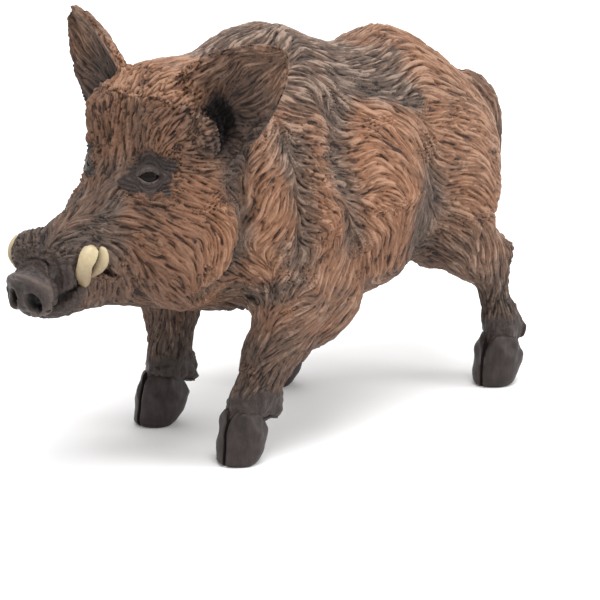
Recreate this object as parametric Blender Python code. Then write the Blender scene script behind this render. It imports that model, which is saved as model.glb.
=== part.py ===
"""A moulded vinyl wild boar figure, walking, at its real size.

It faces -Y with +Z up, and its left side is +X. The flesh is lofted from a few named
sections, blended into one body, then parted with thin cuts into the pieces that a person
would name. Eyes, tusks and claws are pieces of their own, set into or against the flesh.
"""

import math

import bmesh
import bpy
import numpy as np
from mathutils import Matrix, Vector

MM = 0.001

# Driving dimensions.
GAP = 0.3 * MM  # clearance between pieces that touch
BLEND_VOXEL = 0.5 * MM  # grain of the blend between torso, head and limbs
BODY_PASSES = 16  # smoothing passes over the blended torso, skull and limbs
EDGE_PASSES = 3  # and over the whole once its thin parts are added
FLESH_FACES = 3900  # triangles of the whole body before it is parted
FLAT_ANGLE = 1.5  # degrees between two faces that count as one flat face

# Torso sections, upright: y, top, widest level, bottom, half width, crest (0 round, 1 sharp), all in mm.
TORSO = (
    (-20.0, 52.5, 37.0, 24.0, 9.0, 0.20),
    (-16.0, 53.2, 37.0, 21.0, 11.8, 0.25),
    (-10.0, 54.6, 36.5, 19.2, 13.6, 0.34),
    (-3.0, 57.0, 35.0, 18.4, 15.4, 0.40),
    (4.0, 56.4, 34.0, 17.4, 16.0, 0.38),
    (11.0, 53.2, 33.5, 16.4, 16.2, 0.28),
    (18.0, 51.2, 33.5, 17.0, 15.6, 0.20),
    (25.0, 52.2, 35.5, 20.0, 14.4, 0.26),
    (31.0, 50.4, 36.0, 22.6, 13.6, 0.26),
    (37.0, 45.8, 35.5, 24.6, 11.6, 0.20),
    (42.8, 40.8, 34.5, 26.0, 7.0, 0.10),
    (46.6, 36.6, 33.2, 28.4, 3.4, 0.0),
)

# Head sections, each a plane through two points of its profile:
# top y and z, bottom y and z, half width, crest, share of the height where it is widest.
HEAD = (
    (-9.0, 54.0, -8.0, 19.8, 11.8, 0.10, 0.45),
    (-16.0, 54.6, -13.0, 20.0, 12.0, 0.12, 0.45),
    (-20.4, 54.2, -18.0, 21.0, 11.2, 0.14, 0.42),
    (-23.4, 50.6, -23.0, 22.4, 9.6, 0.12, 0.42),
    (-25.2, 45.6, -27.5, 23.6, 8.1, 0.12, 0.44),
    (-28.2, 41.2, -31.8, 24.4, 6.6, 0.10, 0.48),
    (-32.8, 38.4, -35.4, 24.5, 5.4, 0.08, 0.50),
    (-37.6, 35.9, -38.6, 24.2, 4.8, 0.06, 0.50),
    (-41.0, 33.6, -41.0, 24.3, 4.1, 0.04, 0.50),
    (-43.0, 31.9, -42.4, 25.4, 3.7, 0.0, 0.50),
    (-44.2, 31.8, -43.2, 24.8, 4.1, 0.0, 0.50),
    (-45.2, 31.2, -44.2, 25.0, 3.9, 0.0, 0.50),
)
TORSO_SQUARE = (0.96, 0.86)  # powers that square off a section above and below its widest level; 1 is round
HEAD_SQUARE = (0.72, 0.84)
SNOUT_SQUARE = (0.94, 0.94)
SNOUT_FROM = -40.0  # y in front of which the head's sections take the snout's shape, in mm

# Swellings blended into the body: centre and radii in mm, and the lean about X in degrees.
# Each stands on both sides unless its centre is on the middle plane.
SWELLINGS = (
    ("shoulder", (9.4, -2.0, 31.0), (6.6, 9.5, 15.0), -10),
    ("haunch", (8.2, 30.0, 31.0), (6.0, 9.6, 13.0), -14),
    ("jowl", (6.6, -20.5, 31.5), (5.0, 9.0, 9.0), 14),
    ("brow", (4.6, -22.4, 45.4), (3.6, 3.2, 5.2), 24),
    ("lip", (3.0, -37.4, 31.2), (2.5, 4.2, 4.2), 10),
    ("belly", (0.0, 12.0, 23.0), (11.5, 16.0, 7.4), 3),
)

FRINGES = (  # the long hair behind each elbow, given likewise, left and then right
    ((11.4, 0.2, 19.4), (4.4, 8.4, 4.8), 22),
    ((-11.0, 1.0, 21.6), (3.8, 6.6, 4.8), 22),
)


class Leg:
    """Where a leg's joints lie, from the body down to the coronet, and how thick it is there."""

    def __init__(self, name, joints, girths, toes_out, dewclaw):
        self.name = name
        self.joints = joints  # x, y, z in mm
        self.girths = girths  # half thickness across and along the body, in mm
        self.toes_out = toes_out  # degrees that the toes turn outwards
        self.dewclaw = dewclaw  # y and z of the small claws behind the foot, in mm


FORE_GIRTHS = ((3.0, 6.0), (4.8, 7.6), (4.1, 5.6), (3.7, 4.5), (3.3, 3.7), (3.5, 3.7), (3.2, 3.6))
HIND_GIRTHS = ((3.0, 6.5), (5.2, 8.2), (4.3, 6.0), (3.1, 4.0), (2.8, 3.1), (3.3, 3.4), (3.1, 3.5))

LEGS = (
    Leg(
        "foreleg_left",
        (
            (9.6, -6.6, 34), (11.6, -6.2, 25), (12, -7.2, 18.5), (11.2, -10.4, 13.5),
            (10.6, -11.4, 10), (10.2, -12.2, 7.8), (10.1, -13.2, 5.4),
        ),
        FORE_GIRTHS,
        4,
        (-9.4, 7.2),
    ),
    Leg(
        "foreleg_right",
        (
            (-9.6, -5.6, 34), (-11.4, -5, 25), (-11, -5, 19), (-10.4, -6, 14),
            (-10, -6.4, 10), (-10, -7, 7.8), (-10, -8.0, 5.4),
        ),
        FORE_GIRTHS,
        4,
        (-4.2, 7.2),
    ),
    Leg(
        "hindleg_left",
        (
            (8.0, 31, 42), (10.4, 29.5, 31), (11.4, 31.2, 23), (11.4, 36.0, 18),
            (11.6, 37.8, 12.8), (11.9, 38.2, 9), (12.2, 37.4, 5.6),
        ),
        HIND_GIRTHS,
        4,
        (41.2, 8.4),
    ),
    Leg(
        "hindleg_right",
        (
            (-8.0, 27, 42), (-10.4, 24, 31), (-11, 22.2, 23.5), (-10.8, 23.6, 17.2),
            (-10.6, 20.4, 12.6), (-10.4, 18.2, 9), (-10.4, 16.4, 5.6),
        ),
        HIND_GIRTHS,
        4,
        (20.2, 7.6),
    ),
)
SOLE = 1.0  # level of the soles in the numbers above, in mm
CORONET = 6.2  # and of the claws' upper edges
CLEFT = 0.5  # between the two claws of a foot, in mm
DEWCLAW_RADII = (1.2, 1.4, 2.1)
CLAW_RINGS = (  # share of the claw's height, toe and heel from the leg's axis, width of one claw, in mm
    (0.0, -3.7, 1.7, 2.3),
    (0.08, -4.2, 2.1, 2.6),
    (0.32, -4.0, 2.9, 2.8),
    (0.68, -3.5, 3.5, 2.85),
    (1.0, -3.1, 3.3, 2.75),
)

# The ear, left side: from the middle of its root to its tip, its root from top to bottom, in mm.
EAR_ROOT = Vector((8.0, -18.2, 48.6))
EAR_TIP = Vector((19.4, -15.4, 58.4))
EAR_FRONT = Vector((0.32, -0.94, -0.06))  # the way that its hollow faces
EAR_WIDTHS = (6.8, 6.9, 6.7, 6.2, 5.3, 3.8, 1.0)  # half widths from root to tip
EAR_THICK = 1.7  # at its middle
EAR_CUP = 3.0  # depth of the hollow at the root

EYE_CENTRE = Vector((4.6, -25.4, 41.4))
EYE_RADIUS = 1.7

# Tusks, left side: points along each from its socket to its tip, and their half thicknesses, in mm.
TUSKS = {
    "tusk_lower": (
        ((3.8, -39.0, 28.6), (5.2, -39.2, 29.8), (6.1, -39.1, 32.2), (6.1, -37.9, 33.9), (5.6, -36.6, 34.9)),
        (0.9, 1.1, 1.2, 1.1, 0.5),
    ),
    "tusk_upper": (
        ((4.2, -36.6, 30.8), (5.6, -36.3, 31.3), (6.3, -35.3, 32.3), (6.1, -35.2, 33.6), (5.5, -35.8, 34.6)),
        (0.8, 0.9, 0.9, 0.8, 0.4),
    ),
}

TAIL = (
    (0, 39.0, 41.4), (0.3, 43.8, 41.0), (0.8, 46.9, 38.4), (1.0, 48.2, 34.6), (1.0, 48.4, 30.2), (0.8, 47.6, 25.6),
)
TAIL_GIRTHS = (2.2, 2.2, 2.1, 1.9, 1.6, 1.1)
TAIL_REGION = (  # y and z round the tail, as seen from the side
    (43.4, 52), (43.6, 39.4), (45.4, 37.4), (46.3, 34.5), (46.6, 30), (46.0, 23), (60, 23), (60, 52),
)

NOSTRIL = Vector((1.75, -45.2, 27.8))
NOSTRIL_RADII = (0.95, 1.7, 1.0)
EAR_HOLLOW = Vector((9.0, -19.0, 46.0))  # the pit in front of the ear's root
EAR_HOLLOW_RADII = (2.2, 2.2, 3.4)

# Where the flesh is parted, as outlines of y and z seen from the side, in mm.
SNOUT_REGION = ((-55, 26.4), (-43, 26.8), (-41.4, 27.2), (-41.0, 33), (-40.6, 50), (-55, 50))
JAW_REGION = (
    (-55, 26.4), (-43, 26.8), (-40.6, 27.5), (-38, 28.6), (-35, 29.5), (-31, 30.2), (-28, 29.6),
    (-25.6, 26), (-24.6, 21), (-24.6, 8), (-55, 8),
)
HEAD_REGION = (
    (-60, 70), (-12.0, 70), (-12.6, 52), (-14.4, 44), (-15.8, 38), (-15.0, 33), (-14.0, 26), (-15.5, 8), (-60, 8),
)
NECK_REGION = ((-60, 70), (2, 70), (-1, 56), (-4, 46), (-8, 36), (-9.5, 26), (-9, 8), (-60, 8))
KNEE_HEIGHT = 13.6
HOCK_HEIGHT = 15.0
LEG_INSIDE = 6.6  # half the distance between the upper legs of a pair, in mm
SHOULDER = ((2.0, 27.0), (9.6, 12.0))  # arch over an upper leg: centre from its joint, level; radii
THIGH = ((2.4, 30.0), (11.8, 12.0))


COLOURS = {
    "coat": (0.24, 0.12, 0.075),
    "muzzle": (0.07, 0.055, 0.05),
    "horn": (0.05, 0.038, 0.034),
    "ivory": (0.76, 0.66, 0.42),
    "eye": (0.01, 0.01, 0.012),
}
ROUGHNESS = {"coat": 0.62, "muzzle": 0.5, "horn": 0.38, "ivory": 0.35, "eye": 0.08}


def catmull_rom(rows, steps):
    """The rows with `steps` - 1 smooth rows added between each two."""
    rows = np.asarray(rows, float)
    padded = np.vstack([2 * rows[0] - rows[1], rows, 2 * rows[-1] - rows[-2]])
    t = (np.arange(steps) / steps)[:, None]
    found = []
    for a, b, c, d in zip(padded, padded[1:], padded[2:], padded[3:]):
        curve = 2 * b + (c - a) * t + (2 * a - 5 * b + 4 * c - d) * t**2 + (3 * b - a - 3 * c + d) * t**3
        found.append(curve / 2)
    return np.vstack(found + [rows[-1:]])


def new_object(name, points, faces):
    mesh = bpy.data.meshes.new(name)
    mesh.from_pydata([tuple(p) for p in points], [], faces)
    mesh.update()
    made = bpy.data.objects.new(name, mesh)
    bpy.context.scene.collection.objects.link(made)
    return made


def lofted(name, rings):
    """A closed tube through rings of equally many points, with flat ends."""
    rings = np.asarray(rings, float)
    count, sides = rings.shape[:2]
    faces = [tuple(range(sides))[::-1], tuple(range((count - 1) * sides, count * sides))]
    for ring in range(count - 1):
        for side in range(sides):
            a, b = ring * sides + side, ring * sides + (side + 1) % sides
            faces.append((a, b, b + sides, a + sides))
    made = new_object(name, rings.reshape(-1, 3), faces)
    face_outwards(made)
    return made


def face_outwards(obj):
    shape = bmesh.new()
    shape.from_mesh(obj.data)
    bmesh.ops.recalc_face_normals(shape, faces=shape.faces)
    shape.to_mesh(obj.data)
    shape.free()


def section(half_width, above, below, crest, squareness, sides=28):
    """One section's points as (across, up): an ellipse, squared off and drawn in towards the crest above."""
    turn = np.linspace(0, 2 * math.pi, sides, endpoint=False)
    across, up = np.cos(turn), np.sin(turn)
    square = np.where(up > 0, *squareness)
    x = half_width * np.sign(across) * np.abs(across) ** square
    z = np.where(up > 0, above, below) * np.sign(up) * np.abs(up) ** square
    return x * (1 - crest * np.clip(up, 0, 1) ** 1.5), z


def make_torso():
    rings = []
    for y, top, level, bottom, half_width, crest in catmull_rom(TORSO, 3):
        x, z = section(half_width, top - level, level - bottom, crest, TORSO_SQUARE)
        rings.append(np.column_stack([x, np.full_like(x, y), level + z]))
    return lofted("torso", np.array(rings) * MM)


def make_skull():
    rings = []
    for top_y, top, bottom_y, bottom, half_width, crest, wide_at in catmull_rom(HEAD, 3):
        height = math.hypot(top_y - bottom_y, top - bottom)
        square = HEAD_SQUARE if top_y > SNOUT_FROM else SNOUT_SQUARE
        x, rise = section(half_width, height * (1 - wide_at), height * wide_at, crest, square)
        share = rise / height + wide_at
        rings.append(np.column_stack([x, bottom_y + share * (top_y - bottom_y), bottom + share * (top - bottom)]))
    return lofted("skull", np.array(rings) * MM)


def tube(name, joints, girths, sides=16, steps=4):
    """A tube of elliptical rings, each square to the line through the joints."""
    rows = catmull_rom(np.hstack([joints, girths]), steps)
    path = rows[:, :3]
    ahead = np.gradient(path, axis=0)
    ahead /= np.linalg.norm(ahead, axis=1)[:, None]
    along = np.cross((1.0, 0.0, 0.0), ahead)
    along /= np.linalg.norm(along, axis=1)[:, None]
    across = np.cross(ahead, along)
    turn = np.linspace(0, 2 * math.pi, sides, endpoint=False)[None, :, None]
    wide, deep = rows[:, 3, None, None], rows[:, 4, None, None]
    rings = path[:, None] + np.cos(turn) * wide * across[:, None] + np.sin(turn) * deep * along[:, None]
    return lofted(name, rings * MM)


def ball(name, centre, radii, lean=0, detail=3):
    """An ellipsoid, centre and radii in mm, leaning about X."""
    shape = bmesh.new()
    bmesh.ops.create_icosphere(shape, subdivisions=detail, radius=1.0)
    place = Matrix.Translation(Vector(centre) * MM) @ Matrix.Rotation(math.radians(lean), 4, "X")
    shape.transform(place @ Matrix.Diagonal((*(Vector(radii) * MM), 1)))
    made = new_object(name, [], [])
    shape.to_mesh(made.data)
    shape.free()
    return made


def prism(name, outline, x_from, x_to, grow=0.0):
    """A slab with an outline of y and z in mm, from one x to another, every face `grow` further out."""
    outline = np.asarray(outline, float)
    edge = np.roll(outline, -1, axis=0) - outline
    normal = np.column_stack([edge[:, 1], -edge[:, 0]]) / np.linalg.norm(edge, axis=1)[:, None]
    before = np.roll(outline, 1, axis=0)
    if np.sum(before[:, 0] * outline[:, 1] - outline[:, 0] * before[:, 1]) < 0:
        normal = -normal
    last = np.roll(normal, 1, axis=0)
    corner = outline + grow * (normal + last) / (1 + np.sum(normal * last, axis=1))[:, None]
    rings = [np.column_stack([np.full(len(corner), x), corner]) for x in (x_from - grow, x_to + grow)]
    return lofted(name, np.array(rings) * MM)


def mirrored(point, side):
    """A left side's point on that side, or its twin on the right for a side of -1."""
    return Vector((point[0] * side, point[1], point[2]))


def ear_frame():
    """Unit vectors along the ear to its tip, across it downwards, and the way that it faces."""
    axis = (EAR_TIP - EAR_ROOT).normalized()
    front = (EAR_FRONT - axis * EAR_FRONT.dot(axis)).normalized()
    down = front.cross(axis)
    return axis, down, front


def make_ear(name, side):
    """A leaf of an ear: a cupped sheet with a thick middle, root sunk in the head."""
    axis, down, front = (np.array(v) for v in ear_frame())
    length = (EAR_TIP - EAR_ROOT).length
    along = np.linspace(0, 1, 13)
    width = np.interp(along, np.linspace(0, 1, len(EAR_WIDTHS)), EAR_WIDTHS)
    turn = np.linspace(0, 2 * math.pi, 20, endpoint=False)
    across, through = np.cos(turn), np.sin(turn)
    rings = []
    for share, half in zip(along, width):
        reach = (share * 1.2 - 0.2) * length
        cup = EAR_CUP * (1 - 0.75 * share)
        thick = EAR_THICK * (1 - 0.35 * share)
        offset = cup * (across**2 - 0.6) + np.sign(through) * np.abs(through) ** 0.6 * thick / 2
        point = np.array(EAR_ROOT) + reach * axis + np.outer(across * half, down) + np.outer(offset, front)
        rings.append(point * (side, 1, 1))
    return lofted(name, np.array(rings) * MM)


def ear_region(side, grow=0.0):
    """The box that holds one ear beyond its root."""
    axis, down, front = ear_frame()
    from_root, to_tip, half_width, half_depth = 2.2, 24.0, 9.0, 3.8
    shape = bmesh.new()
    bmesh.ops.create_cube(shape, size=2.0)
    half_length = (to_tip - from_root) / 2
    turned = Matrix((axis, down, front)).transposed().to_4x4()
    centre = EAR_ROOT + axis * (from_root + half_length)
    half = Vector((half_length, half_width, half_depth)) + Vector((grow, grow, grow))
    placed = Matrix.Translation(centre) @ turned @ Matrix.Diagonal((*half, 1))
    shape.transform(Matrix.Diagonal((side * MM, MM, MM, 1)) @ placed)
    made = new_object("ear_region", [], [])
    shape.to_mesh(made.data)
    shape.free()
    face_outwards(made)
    return made


def leg_region(leg, arch, grow=0.0):
    """An arch over the upper leg, open to the floor, outside the inner face of the leg."""
    (ahead, level), (radius_y, radius_z) = arch
    side = 1 if leg.joints[0][0] > 0 else -1
    centre = leg.joints[1][1] + ahead
    turn = np.linspace(0, math.pi, 13)
    outline = [(centre + radius_y * math.cos(t), level + radius_z * math.sin(t)) for t in turn]
    outline += [(centre - radius_y, 0), (centre + radius_y, 0)]
    ends = sorted((side * LEG_INSIDE, side * 30))
    return prism("leg_region", outline, *ends, grow)


def foot_region(leg, height, grow=0.0):
    """All of one leg below a height."""
    side = 1 if leg.joints[0][0] > 0 else -1
    middle = leg.joints[4][1]
    outline = ((middle - 12, -5), (middle + 12, -5), (middle + 12, height), (middle - 12, height))
    ends = sorted((side * 2, side * 30))
    return prism("foot_region", outline, *ends, grow)


def make_claw(name, leg, side):
    """One claw of a foot: a D in plan, flat at the cleft, its heel drawn in towards the sole."""
    x, y = leg.joints[-1][:2]
    turn = np.linspace(-math.pi / 2, math.pi / 2, 9)
    rings = []
    for share, toe, heel, width in CLAW_RINGS:
        across = CLEFT / 2 + width * np.cos(turn) ** 0.8
        along = (toe + heel) / 2 + (heel - toe) / 2 * np.sin(turn) * (1 - 0.12 * np.cos(turn))
        level = SOLE + share * (CORONET - SOLE)
        rings.append(np.column_stack([across * side, along, np.full_like(across, level)]))
    swing = math.radians(leg.toes_out) * (1 if x > 0 else -1)
    turned = np.array(Matrix.Rotation(swing, 3, "Z"))
    return lofted(name, (np.array(rings) @ turned.T + (x, y, 0)) * MM)


def evaluated(obj):
    """Applies the object's modifiers."""
    graph = bpy.context.evaluated_depsgraph_get()
    mesh = bpy.data.meshes.new_from_object(obj.evaluated_get(graph))
    obj.modifiers.clear()
    obj.data = mesh
    return obj


def join(name, objects):
    shape = bmesh.new()
    for obj in objects:
        shape.from_mesh(obj.data)
        bpy.data.objects.remove(obj)
    made = new_object(name, [], [])
    shape.to_mesh(made.data)
    shape.free()
    return made


def blended(name, objects, passes):
    """One body around overlapping shapes, softened where they meet."""
    made = join(name, objects)
    remesh = made.modifiers.new("blend", "REMESH")
    remesh.mode = "VOXEL"
    remesh.voxel_size = BLEND_VOXEL
    smooth = made.modifiers.new("soften", "SMOOTH")
    smooth.iterations = passes
    smooth.factor = 0.5
    return evaluated(made)


def reduced(obj, triangles):
    fewer = obj.modifiers.new("fewer", "DECIMATE")
    fewer.use_collapse_triangulate = True
    fewer.ratio = triangles / (2 * len(obj.data.polygons))
    return evaluated(obj)


def make_flesh():
    """The whole body in one: torso, skull, limbs and their swellings, then ears, tail and dewclaws."""
    masses = [make_torso(), make_skull()]
    masses += [tube(leg.name, leg.joints, leg.girths) for leg in LEGS]
    for name, centre, radii, lean in SWELLINGS:
        for side in (1, -1) if centre[0] else (1,):
            masses.append(ball(name, mirrored(centre, side), radii, lean))
    masses += [ball("fringe", *details) for details in FRINGES]
    body = blended("body", masses, BODY_PASSES)
    additions = [body, tube("tail", TAIL, [(g, g) for g in TAIL_GIRTHS], sides=10)]
    additions += [make_ear("ear", side) for side in (1, -1)]
    for leg in LEGS:
        x = leg.joints[-2][0]
        for offset in (-1.8, 1.8):
            additions.append(ball("dewclaw", (x + offset, *leg.dewclaw), DEWCLAW_RADII, 25, detail=2))
    return reduced(blended("flesh", additions, EDGE_PASSES), FLESH_FACES)


def boolean(obj, tool, operation):
    """Joins `tool` with the object by a Boolean, and takes it out of the scene."""
    step = obj.modifiers.new("boolean", "BOOLEAN")
    step.operation = operation
    step.object = tool
    evaluated(obj)
    bpy.data.objects.remove(tool)
    return obj


def keep_largest(obj):
    """Drops the crumbs that a cut leaves, and all but triangles."""
    shape = bmesh.new()
    shape.from_mesh(obj.data)
    bmesh.ops.triangulate(shape, faces=shape.faces)
    left, islands = set(shape.verts), []
    while left:
        found, front = set(), [left.pop()]
        while front:
            vert = front.pop()
            found.add(vert)
            near = {edge.other_vert(vert) for edge in vert.link_edges} & left
            left -= near
            front.extend(near)
        islands.append(found)
    islands.sort(key=len)
    crumbs = [vert for island in islands[:-1] for vert in island]
    bmesh.ops.delete(shape, geom=crumbs, context="VERTS")
    shape.to_mesh(obj.data)
    shape.free()
    return obj


def part_off(whole, name, region, *details):
    """Takes the part of the whole inside a region as a piece of its own, with a gap between the two."""
    piece = new_object(name, [], [])
    piece.data = whole.data.copy()
    boolean(piece, region(*details), "INTERSECT")
    boolean(whole, region(*details, GAP / MM), "DIFFERENCE")
    keep_largest(piece)
    keep_largest(whole)
    return piece


def slab(outline, grow=0.0):
    """A region right across the body."""
    return prism("region", outline, -40, 40, grow)


def tail_region(grow=0.0):
    return prism("region", TAIL_REGION, -2.2, 3.8, grow)


def part_flesh(flesh):
    """Parts the body into the pieces that a person would name."""
    boolean(flesh, slab(((-60, -9), (70, -9), (70, CORONET), (-60, CORONET)), GAP / MM), "DIFFERENCE")
    for leg in LEGS:
        fore = leg.name.startswith("fore")
        part_off(flesh, f"{leg.name}_lower", foot_region, leg, KNEE_HEIGHT if fore else HOCK_HEIGHT)
        part_off(flesh, f"{leg.name}_upper", leg_region, leg, SHOULDER if fore else THIGH)
    part_off(flesh, "tail", tail_region)
    for side, name in ((1, "left"), (-1, "right")):
        part_off(flesh, f"ear_{name}", ear_region, side)
    part_off(flesh, "snout", slab, SNOUT_REGION)
    part_off(flesh, "jaw", slab, JAW_REGION)
    part_off(flesh, "head", slab, HEAD_REGION)
    part_off(flesh, "neck", slab, NECK_REGION)
    flesh.name = "trunk"


def make_eye(name, side, grow=0.0):
    return ball(name, mirrored(EYE_CENTRE, side), (EYE_RADIUS + grow,) * 3, detail=2)


def make_tusk(name, kind, side, grow=0.0):
    points, girths = TUSKS[kind]
    return tube(name, [mirrored(p, side) for p in points], [(g + grow, g + grow) for g in girths], sides=8, steps=2)


def simplified(obj):
    """Merges the slivers that cuts leave in faces that are flat but for a degree or so."""
    shape = bmesh.new()
    shape.from_mesh(obj.data)
    bmesh.ops.dissolve_limit(shape, angle_limit=math.radians(FLAT_ANGLE), verts=shape.verts, edges=shape.edges)
    bmesh.ops.triangulate(shape, faces=shape.faces)
    shape.to_mesh(obj.data)
    shape.free()


def clear_scene():
    for obj in list(bpy.data.objects):
        bpy.data.objects.remove(obj)


def finish_surface(obj):
    """Gives a piece its material and smooth shading."""
    slots = {"snout": "muzzle", "eye": "eye", "tusk": "ivory", "claw": "horn"}
    slot = next((slot for word, slot in slots.items() if word in obj.name), "coat")
    paint = bpy.data.materials.get(slot)
    if paint is None:
        paint = bpy.data.materials.new(slot)
        paint.use_nodes = True
        shader = paint.node_tree.nodes["Principled BSDF"]
        shader.inputs["Base Color"].default_value = (*COLOURS[slot], 1)
        shader.inputs["Roughness"].default_value = ROUGHNESS[slot]
        shader.inputs["Metallic"].default_value = 0.0
    obj.data.materials.clear()
    obj.data.materials.append(paint)
    obj.data.shade_smooth()
    obj.data.set_sharp_from_angle(angle=math.radians(50))


def centre_on_floor(objects):
    """Moves all pieces so that the origin lies on the floor in the middle of their box."""
    low, high = (
        np.array([pick([v.co[axis] for obj in objects for v in obj.data.vertices]) for axis in range(3)])
        for pick in (min, max)
    )
    shift = Matrix.Translation((-(low[0] + high[0]) / 2, -(low[1] + high[1]) / 2, -low[2]))
    for obj in objects:
        obj.data.transform(shift)


def main():
    clear_scene()
    flesh = make_flesh()
    for side, name in ((1, "left"), (-1, "right")):
        boolean(flesh, make_eye("socket", side, GAP / MM), "DIFFERENCE")
        boolean(flesh, ball("nostril", mirrored(NOSTRIL, side), NOSTRIL_RADII, detail=2), "DIFFERENCE")
        boolean(flesh, ball("hollow", mirrored(EAR_HOLLOW, side), EAR_HOLLOW_RADII, detail=2), "DIFFERENCE")
        make_eye(f"eye_{name}", side)
        for kind in TUSKS:
            boolean(flesh, make_tusk("socket", kind, side, GAP / MM), "DIFFERENCE")
            make_tusk(f"{kind}_{name}", kind, side)
    part_flesh(flesh)
    for leg in LEGS:
        outer = 1 if leg.joints[0][0] > 0 else -1
        make_claw(f"{leg.name}_claw_outer", leg, outer)
        make_claw(f"{leg.name}_claw_inner", leg, -outer)
    pieces = list(bpy.data.objects)
    for piece in pieces:
        simplified(piece)
        finish_surface(piece)
    centre_on_floor(pieces)


main()
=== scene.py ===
"""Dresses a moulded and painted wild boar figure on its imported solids, and sets it in a small studio.

All shapes are worked out in millimetres in the frame of the solids: the figure faces -Y, its left
side is +X, and the floor is at z = 0. They turn into metres only when a mesh is made.
"""

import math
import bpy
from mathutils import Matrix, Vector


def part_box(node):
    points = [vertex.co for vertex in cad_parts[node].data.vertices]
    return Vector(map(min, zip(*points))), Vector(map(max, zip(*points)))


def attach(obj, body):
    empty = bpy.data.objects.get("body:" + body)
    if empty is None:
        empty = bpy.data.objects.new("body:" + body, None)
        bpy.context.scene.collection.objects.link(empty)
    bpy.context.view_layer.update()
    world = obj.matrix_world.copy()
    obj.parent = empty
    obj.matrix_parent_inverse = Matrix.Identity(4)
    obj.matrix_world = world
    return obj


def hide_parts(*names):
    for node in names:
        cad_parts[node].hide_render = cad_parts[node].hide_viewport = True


bl_info = {
    "name": "Wild Boar Figure",
    "version": (1, 0, 0),
    "blender": (4, 5, 0),
    "location": "View3D > Sidebar > Boar",
    "description": "Casts, combs and paints a moulded wild boar figure",
    "category": "Object",
}

import bmesh
import bpy
import numpy as np
from mathutils import Color, Vector

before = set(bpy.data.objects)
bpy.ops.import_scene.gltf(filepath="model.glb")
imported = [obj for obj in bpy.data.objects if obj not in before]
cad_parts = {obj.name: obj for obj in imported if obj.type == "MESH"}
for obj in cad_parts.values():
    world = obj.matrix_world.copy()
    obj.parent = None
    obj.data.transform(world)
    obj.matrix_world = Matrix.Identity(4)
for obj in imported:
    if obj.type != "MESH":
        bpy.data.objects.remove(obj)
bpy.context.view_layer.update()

MM = 0.001
SIDES = (("left", 1), ("right", -1))
LEG_PARTS = [f"{side}_{half}" for side in ("left", "right") for half in ("upper", "lower")]

# The casting, in mm unless said otherwise.
VOXEL = 0.31  # its grain before it is divided once
SWELL = 0.36  # how far the solids swell, so that they overlap
EYES_SWELL_MORE = 0.2  # and the eyes more than the rest
SINK = 0.16  # how far inside the solids the skin lies before the coat is carved
EVENING_ROUNDS = 34  # of evening out
THIN_HELD = 0.72  # share by which ears, snout, feet and tail are held back from evening out
ON_MIDDLE = 0.3  # what lies nearer to the middle plane than this is on it
FAR = 1000.0  # stands for any distance out of reach
HEM = 0.6  # depth of the hem that is turned inwards along each cut

# The moulded hair.
EVEN = 0.8  # how evenly strands are spaced, from 0 at random
WAVE_LENGTH = 3.2  # of the bends of the hair, in mm
STRIDE = 0.3  # steps of the walk along the hair, in mm
# Seed, share of lone spots or 0 for even noise, size of a cell in strand widths, reach along the hair in mm,
# and whether it runs both ways: strands, fine strands, clumps, locks and small locks.
STRANDS = (
    (11, 0.0, 1.35, 3.6, True), (12, 0.0, 1.1, 2.6, True), (13, 0.0, 3.0, 5.2, True),
    (14, 0.14, 1.5, 3.6, False), (15, 0.14, 1.1, 2.1, False),
)
# What each point of the coat tells its paint: height of the hair, its fine grain, warmth of the brown, how
# light the ridges are, how dark the whole is, painted shade in pits, creases and hollows, bare skin, and
# painted highlights on the snout's rim and wrinkles.
PAINT_GUIDES = ("relief", "grain", "warm", "light", "dark", "shade", "bare", "worn")

# Pieces of the coat and the solids that each stands for.
COAT = {
    "coat_face": ("head", "snout", "jaw"),
    "coat_head": ("head", "ear_left", "ear_right"),
    "coat_neck": ("neck",),
    "coat_shoulders": ("trunk",),
    "coat_barrel": ("trunk",),
    "coat_loins": ("trunk",),
    "coat_rump": ("trunk", "tail"),
    "coat_forelegs": tuple(f"foreleg_{part}" for part in LEG_PARTS),
    "coat_hindlegs": tuple(f"hindleg_{part}" for part in LEG_PARTS),
}

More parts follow.
